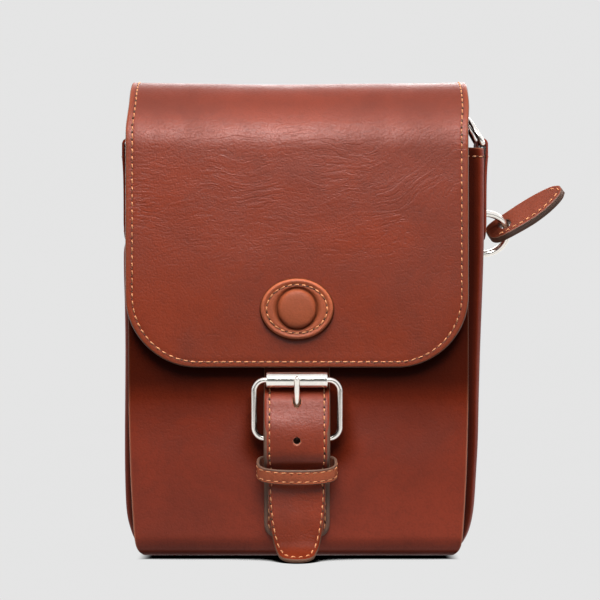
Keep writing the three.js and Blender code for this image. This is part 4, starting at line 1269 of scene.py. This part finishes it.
def build_gussets():
    """The soft sides, each with a hem sewn along its top."""
    seams = []
    for side, sign in SIDES.items():
        def relief(s, t, d):
            waves = 0.22 * ripple(2.2 * s, 0.5 * t, seed=21 + sign, length=60)
            return waves * rising(d, 0, 9) + groove(GUSSET_TOP - t, HEM)

        outline = [(0, GUSSET_LOW), (GUSSET_SPAN, GUSSET_LOW), (GUSSET_SPAN, GUSSET_TOP), (0, GUSSET_TOP)]
        sheet = LeatherSheet(
            gusset_place(side, sign), outline, GUSSET_WALL, outer_share=0, turn=sign, relief=relief,
        )
        rows = GUSSET_LOW + spread_rows(GUSSET_TOP - GUSSET_LOW, GUSSET_WALL, depth=6, step=2.6)
        rows = dressed_rows(rows, GUSSET_LOW + 0.9, 30, 1.2)
        s = np.broadcast_to(np.linspace(0, GUSSET_SPAN, 54)[None], (len(rows), 54))
        t = np.broadcast_to(rows[:, None], s.shape)
        # Painted shade on each side, and a painted shadow in the gap just behind the body's front edge
        shaded = listed([(20, SIDE_SHADE[side]), (30, REAR_SHADE)], s)
        gap_shadow = rising(s, 6.8, -1.2)
        piece = sheet.mesh(f"{side}_side", s, t, press=np.maximum(gap_shadow, shaded))
        finish_piece(piece, "bag", "leather", f"{side}_gusset", material=body_leather())
        spots = np.stack([np.linspace(3, GUSSET_SPAN - 3, 60), np.full(60, GUSSET_TOP - HEM)], 1)
        seams.append(sheet.seam(spots))
    sew("side_hem_stitches", "bag", seams)


def build_flap():
    """The flap with its wrinkles, and one seam all round it."""
    line = SideLine(np.concatenate([
        straight((FLAP_RADIUS, FLAP_TAIL_Z), (FLAP_RADIUS, FLAP_SPRING_Z - 0.1)),
        arc((0, FLAP_SPRING_Z), FLAP_RADIUS, 0, 180, 160),
        straight((-FLAP_RADIUS, FLAP_SPRING_Z - 0.1), (-FLAP_RADIUS, FLAP_END_Z)),
    ]))
    length = line.length

    def place(s, t):
        y, z = line.at(t)
        out_y, out_z = line.outwards(t)
        share = np.clip(s / FLAP_HALF_WIDTH, -1, 1)
        over = np.maximum(z - FLAP_SPRING_Z, 0) / FLAP_RADIUS
        down = rising(z, FLAP_SPRING_Z, FLAP_END_Z - FLAP_SPRING_Z)
        lift = np.where(y < 0, FLAP_BELLY * np.sin(math.pi * down), 0) - FLAP_CROWN_DIP * over * (1 - share**2)
        sway = FLAP_SWAY * smoothed(rising(z, 226, 17))
        return np.stack([s + sway, y + out_y * lift, z + out_z * lift], -1)

    def relief(s, t, d):
        broad = 0.2 * ripple(s, t, seed=29, length=80) + 0.05 * ripple(0.6 * s, t, seed=31, length=16)
        from_badge = np.hypot(s, length - t - (BADGE_Z - FLAP_END_Z))
        return groove(d, FLAP_GROOVE) + broad * rising(d, 0, 8) * rising(from_badge, 18, 12)

    def half_at(t):
        t = np.asarray(t, float)
        low = np.clip(t - (length - FLAP_CORNER), 0, FLAP_CORNER)
        tail = np.clip(FLAP_TAIL_CORNER - t, 0, FLAP_TAIL_CORNER)
        cut = FLAP_CORNER - np.sqrt(FLAP_CORNER**2 - low**2)
        return FLAP_HALF_WIDTH - cut - (FLAP_TAIL_CORNER - np.sqrt(FLAP_TAIL_CORNER**2 - tail**2))

    rows = spread_rows(length, FLAP_WALL, depth=5.5, step=2.0)
    corner = length - FLAP_CORNER + FLAP_CORNER * np.sin(np.linspace(0, math.pi / 2, 60))
    tail = FLAP_TAIL_CORNER * (1 - np.sin(np.linspace(0, math.pi / 2, 12)))[::-1]
    rim = np.concatenate([tail, np.linspace(FLAP_TAIL_CORNER + 1, length - FLAP_CORNER - 1, 40), corner])
    sheet = LeatherSheet(place, strip_outline(half_at(rim), rim), FLAP_WALL, outer_share=0, turn=-1, relief=relief)
    s, t = pattern_grid(half_at(rows), rows, FLAP_WALL, depth=5.5, step=2.4)
    finish_piece(sheet.mesh("flap_leather", s, t), "bag", "leather", "flap", material=flap_leather())
    bend = FLAP_SEAM_CORNER
    half, low = FLAP_HALF_WIDTH - FLAP_SEAM_SIDE, length - FLAP_SEAM_END
    right = np.concatenate([
        straight((half, FLAP_SEAM_TAIL), (half, low - bend), 300),
        arc((half - bend, low - bend), bend, 0, 90, 60)[1:],
    ])
    loop = np.concatenate([right, right[::-1] * [-1, 1], right[:1]])
    sew("flap_stitches", "bag", [sheet.seam(evenly(loop, 1400, closed=False))])


def build_badge():
    """The oval patch with a raised bare middle, and its ring of stitches."""
    angles = full_turn(112)

    def oval(half_width, half_height, height):
        x, z = half_width * np.cos(angles), half_height * np.sin(angles)
        return np.stack([x, np.full(len(x), BADGE_BACK_Y - height), BADGE_Z + z], 1)

    piece = loft("badge_leather", [oval(*row) for row in BADGE_OVALS], False)
    edge = np.array([max(BADGE_PAINTED_FROM - row[0], 0) + 0.6 for row in BADGE_OVALS])
    # Painted shade in the gap under the badge's edge and in its groove, and the dome's own darker tone
    for label, rows in (("edge", edge), ("flesh", 0 * edge), ("press", BADGE_SHADE_AND_TONE)):
        point_layer(piece.data, label, np.concatenate([np.repeat(rows, len(angles)), [rows[0], rows[-1]]]))
    finish_piece(piece, "bag", "badge_leather", "badge", material=badge_leather())
    ring = oval(*BADGE_SEAM)
    ring = np.concatenate([ring, ring[:1]])
    sew("badge_stitches", "bag", [(ring, np.tile([0.0, -1, 0], (len(ring), 1)))], pitch=BADGE_SEAM_PITCH)


def strap_half(line, point_length, shares):
    """The function that gives a strap's half width along it, drawn in to its point."""
    def half_at(t):
        share = eased(shares, (line.length - np.asarray(t, float)) / point_length)
        return STRAP_HALF_WIDTH * np.minimum(share, 1)

    return half_at


def across_x(line):
    """The function that places spots of a strap that runs in the bag's middle."""
    def place(s, t):
        y, z = line.at(t)
        return np.stack([s + 0 * t, y + 0 * s, z + 0 * s], -1)

    return place


def strap_sheet(line, half_at, wall, insets):
    """A strap's sheet, with the dip of the stitch line along its edges."""
    rim = np.concatenate([
        np.linspace(0, line.length - 8, 80), line.length - 8 * (1 - np.linspace(0, 1, 60)[1:]) ** 1.6,
    ])

    def uneven(s, t, d):
        bevel = 0.5 * rising(d, 2.2, -2.2) ** 1.6
        waves = 0.08 * ripple(s, t, seed=41, length=16) * rising(d, 0, 4)
        return groove(d, listed(insets, line.length - t)) - bevel + waves

    outline = strip_outline(half_at(rim), rim)
    return LeatherSheet(across_x(line), outline, wall, outer_share=0.5, turn=-1, relief=uneven), rim


def strap_seam(sheet, half_at, rim, start, insets, both=True):
    """A seam along one or both edges of a strap and round its point. insets go by the distance from the tip."""
    ticks = np.linspace(start, rim[-1], 500)
    insets = listed(insets, rim[-1] - ticks)
    out = np.stack([half_at(ticks), ticks], 1)
    along = unit(np.gradient(out, axis=0))
    spots = out + np.stack([-along[:, 1], along[:, 0]], 1) * insets[:, None]
    clear = sheet.distance(spots[:, 0], spots[:, 1]) > 0.97 * insets
    kept = spots[(spots[:, 0] > 0.3) & clear]
    middle = np.linspace(kept[-1, 1], rim[-1], 200)
    tip = middle[sheet.distance(0 * middle, middle) > insets[-1]]
    other = kept[::-1] * [-1, 1]
    path = np.concatenate([kept, [[0, tip[-1] if len(tip) else kept[-1, 1]]], other if both else other[:40]])
    return sheet.seam(evenly(path, 500, closed=False))


def build_closure_strap():
    """The pointed strap through the buckle, with its punched holes and edge stitches."""
    line = SideLine(smooth_curve(STRAP_ROUTE))
    half_at = strap_half(line, POINT_LENGTH, POINT_SHARES)
    sheet, rim = strap_sheet(line, half_at, STRAP_WALL, STRAP_SEAM_INSETS)
    rows = spread_rows(line.length, STRAP_WALL, depth=5, step=1.0, ends=(False, True))
    s, t = pattern_grid(half_at(rows), rows, STRAP_WALL, depth=4.6, step=1.3)
    height = line.at(t)[1]
    wide_edge = rising(height, 42, 10) * rising(height, 76, -8)
    # Painted shade above the roller and near the tip
    piece = sheet.mesh(
        "buckle_strap", s, t, edge_share=1 - 0.74 * wide_edge, press=listed(STRAP_SHADE, height),
    )
    bar, tip = np.array([0, *BUCKLE_BAR]), np.array([0, *PRONG_TIP])
    punch(piece, rod("prong_hole_tool", (bar + tip) / 2, tip, PRONG_HOLE_RADIUS))
    spare = (0, WRAP_FRONT_Y, STRAP_HOLE_Z), (0, PRONG_TIP[0] - 2, STRAP_HOLE_Z)
    punch(piece, rod("spare_hole_tool", *spare, STRAP_HOLE_RADIUS))
    finish_piece(piece, "bag", "leather", "closure_strap", material=strap_leather())
    seam = strap_seam(sheet, half_at, rim, line.where(STRAP_SEAM_TOP), STRAP_SEAM_INSETS)
    sew("buckle_strap_stitches", "bag", [seam])


def build_base_strap():
    """The strap that holds the buckle: up behind its bar, round it and down to a point."""
    fold = BUCKLE_WIRE + BASE_FOLD_GAP + BASE_WALL / 2
    turn = arc(BUCKLE_BAR, fold, 0, 180, 9)
    route = np.concatenate([[(BUCKLE_BAR[0] + fold, BASE_BACK_END)], turn, BASE_ROUTE])
    line = SideLine(smooth_curve(route))
    half_at = strap_half(line, BASE_POINT_LENGTH, BASE_POINT_SHARES)
    sheet, rim = strap_sheet(line, half_at, BASE_WALL, BASE_SEAM_INSETS)
    rows = spread_rows(line.length, BASE_WALL, depth=4, step=0.9, ends=(False, True))
    s, t = pattern_grid(half_at(rows), rows, BASE_WALL, depth=4, step=1.6)
    piece = sheet.mesh("buckle_base", s, t, edge_share=0.2)
    half, reach = PRONG_SLOT_HALF_WIDTH, PRONG_EYE_RADIUS + 1.2
    corners = np.array([(-half, -1), (half, -1), (half, 1), (-half, 1)], float)
    slot = [
        np.stack([corners[:, 0], np.full(4, y), BUCKLE_BAR[1] + 1 + corners[:, 1] * reach], 1)
        for y in (BUCKLE_BAR[0] - 2 * fold, BUCKLE_BAR[0] + 2 * fold)
    ]
    punch(piece, loft("slot_tool", slot, False))
    finish_piece(piece, "bag", "leather", "buckle_base_strap", material=strap_leather())
    seam = strap_seam(sheet, half_at, rim, line.where(BASE_SEAM_TOP), BASE_SEAM_INSETS)
    sew("buckle_base_stitches", "bag", [seam])


def build_keeper():
    """The loop round both straps, upright behind them and leaning out in front, with two seams."""
    middle = (KEEPER_FRONT[0] + KEEPER_BACK[0]) / 2
    half_depth = (KEEPER_BACK[0] - KEEPER_FRONT[0]) / 2
    angles = full_turn(6000)
    squareness = np.where(np.sin(angles) < 0, KEEPER_FRONT_SQUARENESS, KEEPER_BACK_SQUARENESS)
    oval = np.stack([np.cos(angles), np.sin(angles)], 1)
    loop = np.sign(oval) * np.abs(oval) ** squareness[:, None] * [KEEPER_HALF_WIDTH, half_depth]
    loop = evenly(loop, 720)
    length = np.linalg.norm(loop - np.roll(loop, 1, axis=0), axis=1).sum()
    stations = np.linspace(0, length, 720, endpoint=False)

    def place(s, t):
        x = np.interp(s, stations, loop[:, 0], period=length)
        depth = np.interp(s, stations, loop[:, 1], period=length)
        back = (depth / half_depth + 1) / 2
        lean = KEEPER_LEAN * (1 - back)
        z = KEEPER_FRONT[1] + (KEEPER_BACK[1] - KEEPER_FRONT[1]) * back
        return np.stack([x + 0 * t, middle + depth - np.sin(lean) * t, z + np.cos(lean) * t], -1)

    def relief(s, t, d):
        return groove(d, KEEPER_SEAM_INSET, 0.12, 0.5)

    half = KEEPER_HEIGHT / 2
    far = 10 * length
    outline = [(-far, -half), (far, -half), (far, half), (-far, half)]
    sheet = LeatherSheet(place, outline, KEEPER_WALL, outer_share=0.5, turn=1, relief=relief, round_share=0.7)
    low = rim_steps(KEEPER_WALL, 2.4, 0.4) - half
    heights = np.concatenate([low, [0], -low[::-1]])
    s = np.broadcast_to(np.linspace(0, length, 180, endpoint=False)[None], (len(heights), 180))
    t = np.broadcast_to(heights[:, None], s.shape)
    piece = sheet.mesh("keeper", s, t, closed=True, edge_share=np.where(t > 0, 0.45, 1.0))
    finish_piece(piece, "bag", "leather", "keeper_loop", material=keeper_leather())
    front = np.linspace(0.5 * length - 1.2, length + 1.2, 300)
    seam_height = half - KEEPER_SEAM_INSET
    seams = [sheet.seam(np.stack([front, np.full(300, height)], 1)) for height in (seam_height, -seam_height)]
    sew("keeper_stitches", "bag", seams, thread_radius=0.00027, hole_radius=0.0003, arch=0.0003)


def build_buckle_frame():
    """The buckle's wire frame."""
    bar = np.array([0, *BUCKLE_BAR])
    up = np.array([0, *BUCKLE_TOP]) - bar
    height = np.linalg.norm(up)
    up = unit(up)
    low_x, top_x = BUCKLE_HALF_WIDTH - BUCKLE_LOW_CORNER, BUCKLE_HALF_WIDTH - BUCKLE_TOP_CORNER
    top_y = height - BUCKLE_TOP_CORNER
    outline = np.concatenate([
        arc((low_x, BUCKLE_LOW_CORNER), BUCKLE_LOW_CORNER, -90, 0),
        arc((top_x, top_y), BUCKLE_TOP_CORNER, 0, 90),
        arc((-top_x, top_y), BUCKLE_TOP_CORNER, 90, 180),
        arc((-low_x, BUCKLE_LOW_CORNER), BUCKLE_LOW_CORNER, 180, 270),
    ])
    outline = evenly(outline, 220)
    path = bar + outline[:, :1] * np.array([1.0, 0, 0]) + outline[:, 1:] * up
    facing = np.cross([1.0, 0, 0], up)
    frame_piece = wire("buckle_wire", path, BUCKLE_WIRE_SHOWN, True, facing)
    finish_piece(frame_piece, "bag", "steel", "buckle_frame", material=satin_metal())


def build_roller():
    """The roller on the frame's top bar."""
    half = ROLLER_LENGTH / 2
    end = [(BUCKLE_BORE, half), (3.5, half), (3.9, half - 0.08), (4.15, half - 0.3), (ROLLER_RADIUS, half - 0.7)]
    profile = [(radius, -x) for radius, x in end] + [(ROLLER_RADIUS, 0)] + end[::-1]
    angles = full_turn(64)
    sections = [
        np.stack([
            np.full(64, x), BUCKLE_TOP[0] + radius * np.cos(angles), BUCKLE_TOP[1] + radius * np.sin(angles),
        ], 1)
        for radius, x in profile
    ]
    finish_piece(loft("roller", sections, True), "bag", "steel", "buckle_roller", material=satin_metal())


def build_prong():
    """The prong, and its eye round the frame's low bar."""
    bar, tip = np.array([0, *BUCKLE_BAR]), np.array([0, *PRONG_TIP])
    reach = np.linspace(0, 1, 40)[:, None]
    along = unit(tip - bar)
    path = bar + along * (PRONG_EYE_RADIUS - 0.5) * (1 - reach) + (tip - bar - along * PRONG_WIRE) * reach
    path[:, 1] += PRONG_DIP * np.exp(-(((reach[:, 0] - 0.5) / 0.13) ** 2))
    prong = wire("prong", path, PRONG_WIRE * (1.0 - 0.04 * reach[:, 0]), False)
    finish_piece(prong, "bag", "steel", "buckle_prong", material=satin_metal())
    eye_radius = (PRONG_EYE_RADIUS + BUCKLE_BORE) / 2
    circle = arc(BUCKLE_BAR, eye_radius, 0, 360, 61)[:-1]
    path = np.concatenate([np.zeros((60, 1)), circle], 1)
    eye = wire("prong_eye", path, (PRONG_EYE_RADIUS - BUCKLE_BORE) / 2, True)
    finish_piece(eye, "bag", "steel", material=satin_metal())


def ring_bar(side):
    """Distance of a strap ring's bar from the middle of the body."""
    return float(gusset_reach(side, GUSSET_TOP, "lobe")) - RING_INSET


def build_strap_ring(side, sign):
    """The ring of one side, leaning inwards from its fold."""
    bar = ring_bar(side)
    half, corner = RING_HALF_LENGTH, RING_CORNER
    turns = np.linspace(0, math.pi, 60)
    bow = np.stack([half * np.cos(turns), corner + (RING_HEIGHT - corner) * np.sin(turns)], 1)
    low = arc((half - corner, corner), corner, -90, 0, 12)
    outline = evenly(np.concatenate([low, bow[1:], low[::-1] * [-1, 1]]), 160)
    lean = np.array([-sign * math.sin(RING_LEAN), 0, math.cos(RING_LEAN)])
    centre = np.array([sign * bar + BODY_SHIFT, RING_Y, RING_Z])
    path = centre + outline[:, :1] * np.array([0, 1.0, 0]) + outline[:, 1:] * lean
    ring = wire(f"{side}_strap_ring", path, RING_WIRE, True, np.cross([0, 1.0, 0], lean))
    finish_piece(ring, f"{side}_ring", "steel", f"{side}_d_ring", material=satin_metal())


def build_ring_tab(side, sign):
    """The leather fold that holds the ring of one side. Gives its seams."""
    bar = ring_bar(side)
    fold = RING_WIRE + 0.3 + TAB_WALL / 2
    flat = bar + RING_INSET + WALL_CLEARANCE / 2 + TAB_WALL / 2
    rise = np.linspace(0, 1, 60)
    outside = np.stack([flat + TAB_SPREAD * rise**5, TAB_OUTER_END + (TAB_FOLD_Z - TAB_OUTER_END) * rise], 1)
    inside = straight((bar - fold, RING_Z - 6), (bar - fold, TAB_INNER_END), 20)
    line = SideLine(np.concatenate([outside, arc((bar, RING_Z), fold, 0, 180, 40), inside]))

    def place(s, t):
        x, z = line.at(t)
        return np.stack([sign * x + BODY_SHIFT + 0 * s, RING_Y + s + 0 * t, z + 0 * s], -1)

    def half_at(t):
        return TAB_HALF_WIDTH - TAB_CORNER * (1 - np.sqrt(1 - (1 - rising(t, 0, TAB_CORNER)) ** 2))

    def relief(s, t, d):
        return -0.5 * rising(t, 9, -9)

    rows = spread_rows(line.length, TAB_WALL, depth=4, step=1.2, ends=(True, False))
    rim = np.concatenate([
        TAB_CORNER * np.linspace(0, 1, 24) ** 2, np.linspace(TAB_CORNER + 1, line.length, 30),
    ])
    outline = strip_outline(half_at(rim), rim)
    sheet = LeatherSheet(place, outline, TAB_WALL, outer_share=0.5, turn=sign, relief=relief)
    s, t = pattern_grid(half_at(rows), rows, TAB_WALL, depth=3.6, step=1.2)
    # Painted shade, as on the side under it
    piece = sheet.mesh(f"{side}_tab", s, t, edge_start=3.0, press=SIDE_SHADE[side], bare_back=0.0)
    finish_piece(piece, "bag", "leather", f"{side}_ring_tab", material=body_leather())
    across = np.linspace(2 - TAB_HALF_WIDTH, TAB_HALF_WIDTH - 2, 40)
    return [sheet.seam(np.stack([across, np.full(40, place_along)], 1)) for place_along in TAB_SEAMS]


def build_strap_rings():
    """The two rings and the leather tabs that hold them."""
    seams = []
    for side, sign in SIDES.items():
        build_strap_ring(side, sign)
        seams += build_ring_tab(side, sign)
    sew("tab_stitches", "bag", seams, arch=0.00025)


def build_pull_ring():
    """The small ring on the right side."""
    reach, along_ring = unit(PULL_REACH), unit(PULL_ALONG)
    angles = full_turn(140)[:, None]
    path = PULL_CENTRE + PULL_RING_RADIUS * (np.cos(angles) * reach + np.sin(angles) * along_ring)
    ring = wire("pull_wire", path, PULL_WIRE, True, np.cross(reach, along_ring))
    finish_piece(ring, "bag", "steel", "pull_ring", material=satin_metal())


def build_pull_loop():
    """The leather loop that holds the pull's ring."""
    along_ring = unit(PULL_ALONG)
    seat = PULL_CENTRE - unit(PULL_REACH) * PULL_RING_RADIUS
    inwards = np.array([-1.0, 0, 0])
    stem = unit(inwards - along_ring * (inwards @ along_ring))
    across = np.cross(along_ring, stem)
    layer = PULL_LOOP_WALL / 2
    radius = PULL_WIRE + PULL_LOOP_SLACK + layer
    mouth = math.degrees(math.asin(layer / radius))
    route = np.concatenate([
        straight((PULL_LOOP_STEM, layer), (radius + 0.1, layer), 6), arc((0, 0), radius, mouth, 360 - mouth, 60),
        straight((radius + 0.1, -layer), (PULL_LOOP_STEM, -layer), 6),
    ])
    line = SideLine(route)

    def on_loop(s, t):
        p, q = line.at(t)
        return seat + p[..., None] * stem + q[..., None] * across + s[..., None] * along_ring

    half = PULL_LOOP_LENGTH / 2
    outline = [(half, 0), (half, line.length), (-half, line.length), (-half, 0)]
    sheet = LeatherSheet(on_loop, outline, PULL_LOOP_WALL - 0.06, outer_share=0.5, turn=1)
    rows = spread_rows(line.length, PULL_LOOP_WALL, depth=0.9, step=0.5, ends=(False, False))
    s, t = pattern_grid(np.full(len(rows), half), rows, PULL_LOOP_WALL, depth=1.2, step=0.8)
    finish_piece(sheet.mesh("pull_holder", s, t), "bag", "leather", "pull_loop", material=strap_leather())


def build_pull_tab():
    """The stitched pull on its ring."""
    hole = PULL_CENTRE + unit(PULL_REACH) * PULL_RING_RADIUS
    forward = np.array([math.cos(PULL_RISE), 0, math.sin(PULL_RISE)])
    lying = np.array([-math.sin(PULL_RISE), 0, math.cos(PULL_RISE)])
    sideways = np.array([0, -math.cos(PULL_ROLL), 0]) - lying * math.sin(PULL_ROLL)
    facing = np.cross(sideways, forward)

    def on_pull(s, t):
        curl = PULL_CURL * np.maximum(t / PULL_AHEAD, 0) ** 2
        return hole + t[..., None] * forward + s[..., None] * sideways + (curl + 0 * s)[..., None] * facing

    def half_at(t):
        t = np.asarray(t, float)
        return PULL_HALF_WIDTH * eased(PULL_WIDTHS, np.where(t < 0, t / PULL_BEHIND, t / PULL_AHEAD))

    def relief(s, t, d):
        return groove(d, PULL_SEAM_INSETS[0][1]) + 0.07 * ripple(s, t, seed=61, length=12) * rising(d, 0, 3)

    length = PULL_BEHIND + PULL_AHEAD
    rim = length * (1 - np.cos(np.linspace(0, math.pi, 120))) / 2 - PULL_BEHIND
    outline = strip_outline(half_at(rim), rim)
    sheet = LeatherSheet(on_pull, outline, PULL_WALL, outer_share=0.5, turn=1, relief=relief, round_share=0.3)
    rows = spread_rows(length, PULL_WALL, depth=4, step=0.9) - PULL_BEHIND
    s, t = pattern_grid(half_at(rows), rows, PULL_WALL, depth=4, step=0.9)
    # Painted shadow of the ring over the pull's end
    piece = sheet.mesh("pull_leather", s, t, press=PULL_SHADE * rising(t, 1, -7))
    punch(piece, rod("pull_hole_tool", hole - facing * 6, hole + facing * 6, PULL_HOLE_RADIUS))
    finish_piece(piece, "bag", "leather", "pull_tab", material=pull_leather())
    seam = strap_seam(sheet, half_at, rim, PULL_SEAM_START, PULL_SEAM_INSETS, both=False)
    sew("pull_stitches", "bag", [seam])


def aim(thing, target):
    """Turns a light or a camera towards a point."""
    away = Vector(target) - thing.location
    thing.rotation_euler = away.to_track_quat("-Z", "Y").to_euler()


def softbox(name, place, size, power, tint, missed_by):
    """A rectangular soft light on the bag, and the kind of ray that misses it."""
    lamp = bpy.data.lights.new(name, "AREA")
    lamp.shape = "RECTANGLE"
    lamp.size, lamp.size_y = size
    lamp.energy = power
    lamp.color = tint
    thing = new_object(name, lamp)
    thing.location = place
    aim(thing, LIT_POINT)
    if missed_by:
        setattr(thing, missed_by, False)


def backdrop_material():
    """Plain pale paper that glows evenly for the camera, with a painted shadow close to what stands on it, and
    that glows less near the bag in reflections and bounced light.
    """
    colour = bpy.context.scene.bag_stage.backdrop_colour
    material, tree, surface = new_material("backdrop paper")
    fibre = use_group(tree, "Leather tone", tone_group, cloud_size=0.4)
    shown = blend_colour(tree, fibre["Tone"], shade(colour, 0.995), shade(colour, 1.0))
    # Painted shadow for the camera: dark where the bag closes the paper in, within the bag's width and close to
    # its front and back
    open_sky = add_node(tree, "ShaderNodeAmbientOcclusion", {"Distance": 0.026}, samples=24)
    across, depth, _ = parts_of(tree, object_spot(tree))
    behind = ramp(tree, depth, *SHADOW_BACK)
    from_middle = maths(tree, "ABSOLUTE", maths(tree, "SUBTRACT", across, BODY_SHIFT * MM))
    before = maths(tree, "MAXIMUM", ramp(tree, depth, *SHADOW_FRONT, 1.0, 0.0), behind)
    near = maths(tree, "MINIMUM", ramp(tree, open_sky.outputs["AO"], *SHADOW_OPENNESS), before)
    near = maths(tree, "MAXIMUM", near, ramp(tree, from_middle, *SHADOW_SIDES))
    # Painted shade in reflections: the mirrored paper is darker near the bag
    close = maths(tree, "MAXIMUM", ramp(tree, depth, *MIRRORED_NEAR, 1.0, 0.5), behind)
    far = times(tree, ramp(tree, depth, *MIRRORED_FAR, 0.15, 1.3), close)
    ray = add_node(tree, "ShaderNodeLightPath").outputs
    camera = times(tree, ray["Is Camera Ray"], near)
    mirrored = times(tree, ray["Is Glossy Ray"], far)
    bounced = times(tree, ray["Is Diffuse Ray"], ramp(tree, depth, *BOUNCED_NEAR, 0.1, 0.55))
    strength = maths(tree, "ADD", camera, maths(tree, "ADD", mirrored, bounced))
    glow = add_node(tree, "ShaderNodeEmission", {"Color": shown, "Strength": strength})
    tree.nodes.remove(surface)
    tree.links.new(glow.outputs[0], tree.nodes["Material Output"].inputs["Surface"])
    return material


def studio_air():
    """Dim air that metal mirrors as a bright room, apart from the dark side where the camera stands."""
    world = bpy.data.worlds.new("studio air")
    world.use_nodes = True
    tree = world.node_tree
    way = add_node(tree, "ShaderNodeTexCoord").outputs["Generated"]
    front = parts_of(tree, way)["Y"]
    ray = add_node(tree, "ShaderNodeLightPath").outputs
    mirrored = times(tree, ray["Is Glossy Ray"], ramp(tree, front, -0.97, -0.82))
    background = tree.nodes["Background"].inputs
    background["Color"].default_value = (0.96, 0.97, 1.0, 1)
    tree.links.new(maths(tree, "ADD", mirrored, 0.025), background["Strength"])
    return world


def build_stage():
    """A pale sweep of paper, soft light from above the front, and the camera."""
    stage = bpy.context.scene.bag_stage
    profile = np.concatenate([
        [(-2600.0, 0.0), (-900.0, 0.0), (0.0, 0.0), (600.0, 0.0)], arc((900, 600), 600, -90, 0, 24),
        [(1500.0, 2600.0)],
    ])
    columns = np.linspace(-2600, 2600, 9)
    points = [(x, y, z) for y, z in profile for x in columns]
    quads = grid_quads(np.arange(len(points)).reshape(len(profile), len(columns)))[:, ::-1]
    mesh = bpy.data.meshes.new("paper_sweep")
    mesh.from_pydata((np.array(points) * MM).tolist(), [], quads.tolist())
    mesh.polygons.foreach_set("use_smooth", [True] * len(mesh.polygons))
    sweep = new_object("paper_sweep", mesh)
    mesh.materials.append(backdrop_material())

    for name, (place, size, share, tint, missed_by) in SOFTBOXES.items():
        softbox(name, place, size, share * stage.key_power, tint, missed_by)
    bpy.context.scene.world = studio_air()
    bpy.context.scene.view_settings.view_transform = "Standard"

    lens = bpy.data.cameras.new("camera")
    lens.lens = stage.lens
    lens.sensor_width = 36
    camera = new_object("camera", lens)
    camera.location = (CAMERA_X, -stage.distance, CAMERA_Z)
    aim(camera, (CAMERA_X, 0, CAMERA_Z))
    bpy.context.scene.camera = camera


class Builder:
    """What the operators share: each runs its own build functions in order."""

    def execute(self, context):
        for build in self.builds:
            build()
        return {"FINISHED"}


class BAG_OT_body_wrap(Builder, bpy.types.Operator):
    """Build the leather wall of the front, the base and the back"""

    bl_idname = "bag.body_wrap"
    bl_label = "Body wall"
    builds = (build_body_wrap,)


class BAG_OT_gussets(Builder, bpy.types.Operator):
    """Build both soft sides and their hem stitches"""

    bl_idname = "bag.gussets"
    bl_label = "Sides"
    builds = (build_gussets,)


class BAG_OT_flap(Builder, bpy.types.Operator):
    """Build the flap and its stitches"""

    bl_idname = "bag.flap"
    bl_label = "Flap"
    builds = (build_flap,)


class BAG_OT_badge(Builder, bpy.types.Operator):
    """Build the oval badge and its stitches"""

    bl_idname = "bag.badge"
    bl_label = "Badge"
    builds = (build_badge,)


class BAG_OT_straps(Builder, bpy.types.Operator):
    """Build the buckle's base strap and the pointed strap, with their stitches"""

    bl_idname = "bag.straps"
    bl_label = "Straps"
    builds = (build_base_strap, build_closure_strap)


class BAG_OT_keeper(Builder, bpy.types.Operator):
    """Build the keeper loop and its stitches"""

    bl_idname = "bag.keeper"
    bl_label = "Keeper loop"
    builds = (build_keeper,)


class BAG_OT_buckle(Builder, bpy.types.Operator):
    """Build the buckle's frame, roller and prong"""

    bl_idname = "bag.buckle"
    bl_label = "Buckle"
    builds = (build_buckle_frame, build_roller, build_prong)


class BAG_OT_strap_rings(Builder, bpy.types.Operator):
    """Build both strap rings and their tabs"""

    bl_idname = "bag.strap_rings"
    bl_label = "Strap rings"
    builds = (build_strap_rings,)


class BAG_OT_pull(Builder, bpy.types.Operator):
    """Build the pull, its ring and its loop"""

    bl_idname = "bag.pull"
    bl_label = "Pull"
    builds = (build_pull_ring, build_pull_loop, build_pull_tab)


class BAG_OT_stage(Builder, bpy.types.Operator):
    """Build the backdrop, the lights and the camera"""

    bl_idname = "bag.stage"
    bl_label = "Stage"
    builds = (build_stage,)


OPERATORS = (
    BAG_OT_body_wrap, BAG_OT_gussets, BAG_OT_flap, BAG_OT_badge, BAG_OT_straps, BAG_OT_keeper, BAG_OT_buckle,
    BAG_OT_strap_rings, BAG_OT_pull, BAG_OT_stage,
)


class BAG_PT_pieces(bpy.types.Panel):
    """The bag's settings and the operators that build it"""

    bl_idname = "BAG_PT_pieces"
    bl_label = "Crossbody bag"
    bl_space_type = "VIEW_3D"
    bl_region_type = "UI"
    bl_category = "Bag"

    def draw(self, context):
        for label in SETTINGS:
            box = self.layout.box()
            settings = getattr(context.scene, label)
            for name in settings.__annotations__:
                box.prop(settings, name)
        for operator in OPERATORS:
            self.layout.operator(operator.bl_idname)


SETTINGS = {"bag_leather": BagLeather, "bag_stitching": BagStitching, "bag_metal": BagMetal, "bag_stage": BagStage}
CLASSES = (*SETTINGS.values(), *OPERATORS, BAG_PT_pieces)


def register():
    for made in CLASSES:
        bpy.utils.register_class(made)
    for label, group in SETTINGS.items():
        setattr(bpy.types.Scene, label, PointerProperty(type=group))


def unregister():
    for label in SETTINGS:
        delattr(bpy.types.Scene, label)
    for made in reversed(CLASSES):
        bpy.utils.unregister_class(made)


def main():
    """Builds every piece in order."""
    register()
    bpy.ops.bag.stage()
    bpy.ops.bag.body_wrap()
    bpy.ops.bag.gussets()
    bpy.ops.bag.flap()
    bpy.ops.bag.badge()
    bpy.ops.bag.straps()
    bpy.ops.bag.keeper()
    bpy.ops.bag.buckle()
    bpy.ops.bag.strap_rings()
    bpy.ops.bag.pull()


if __name__ == "__main__":
    main()
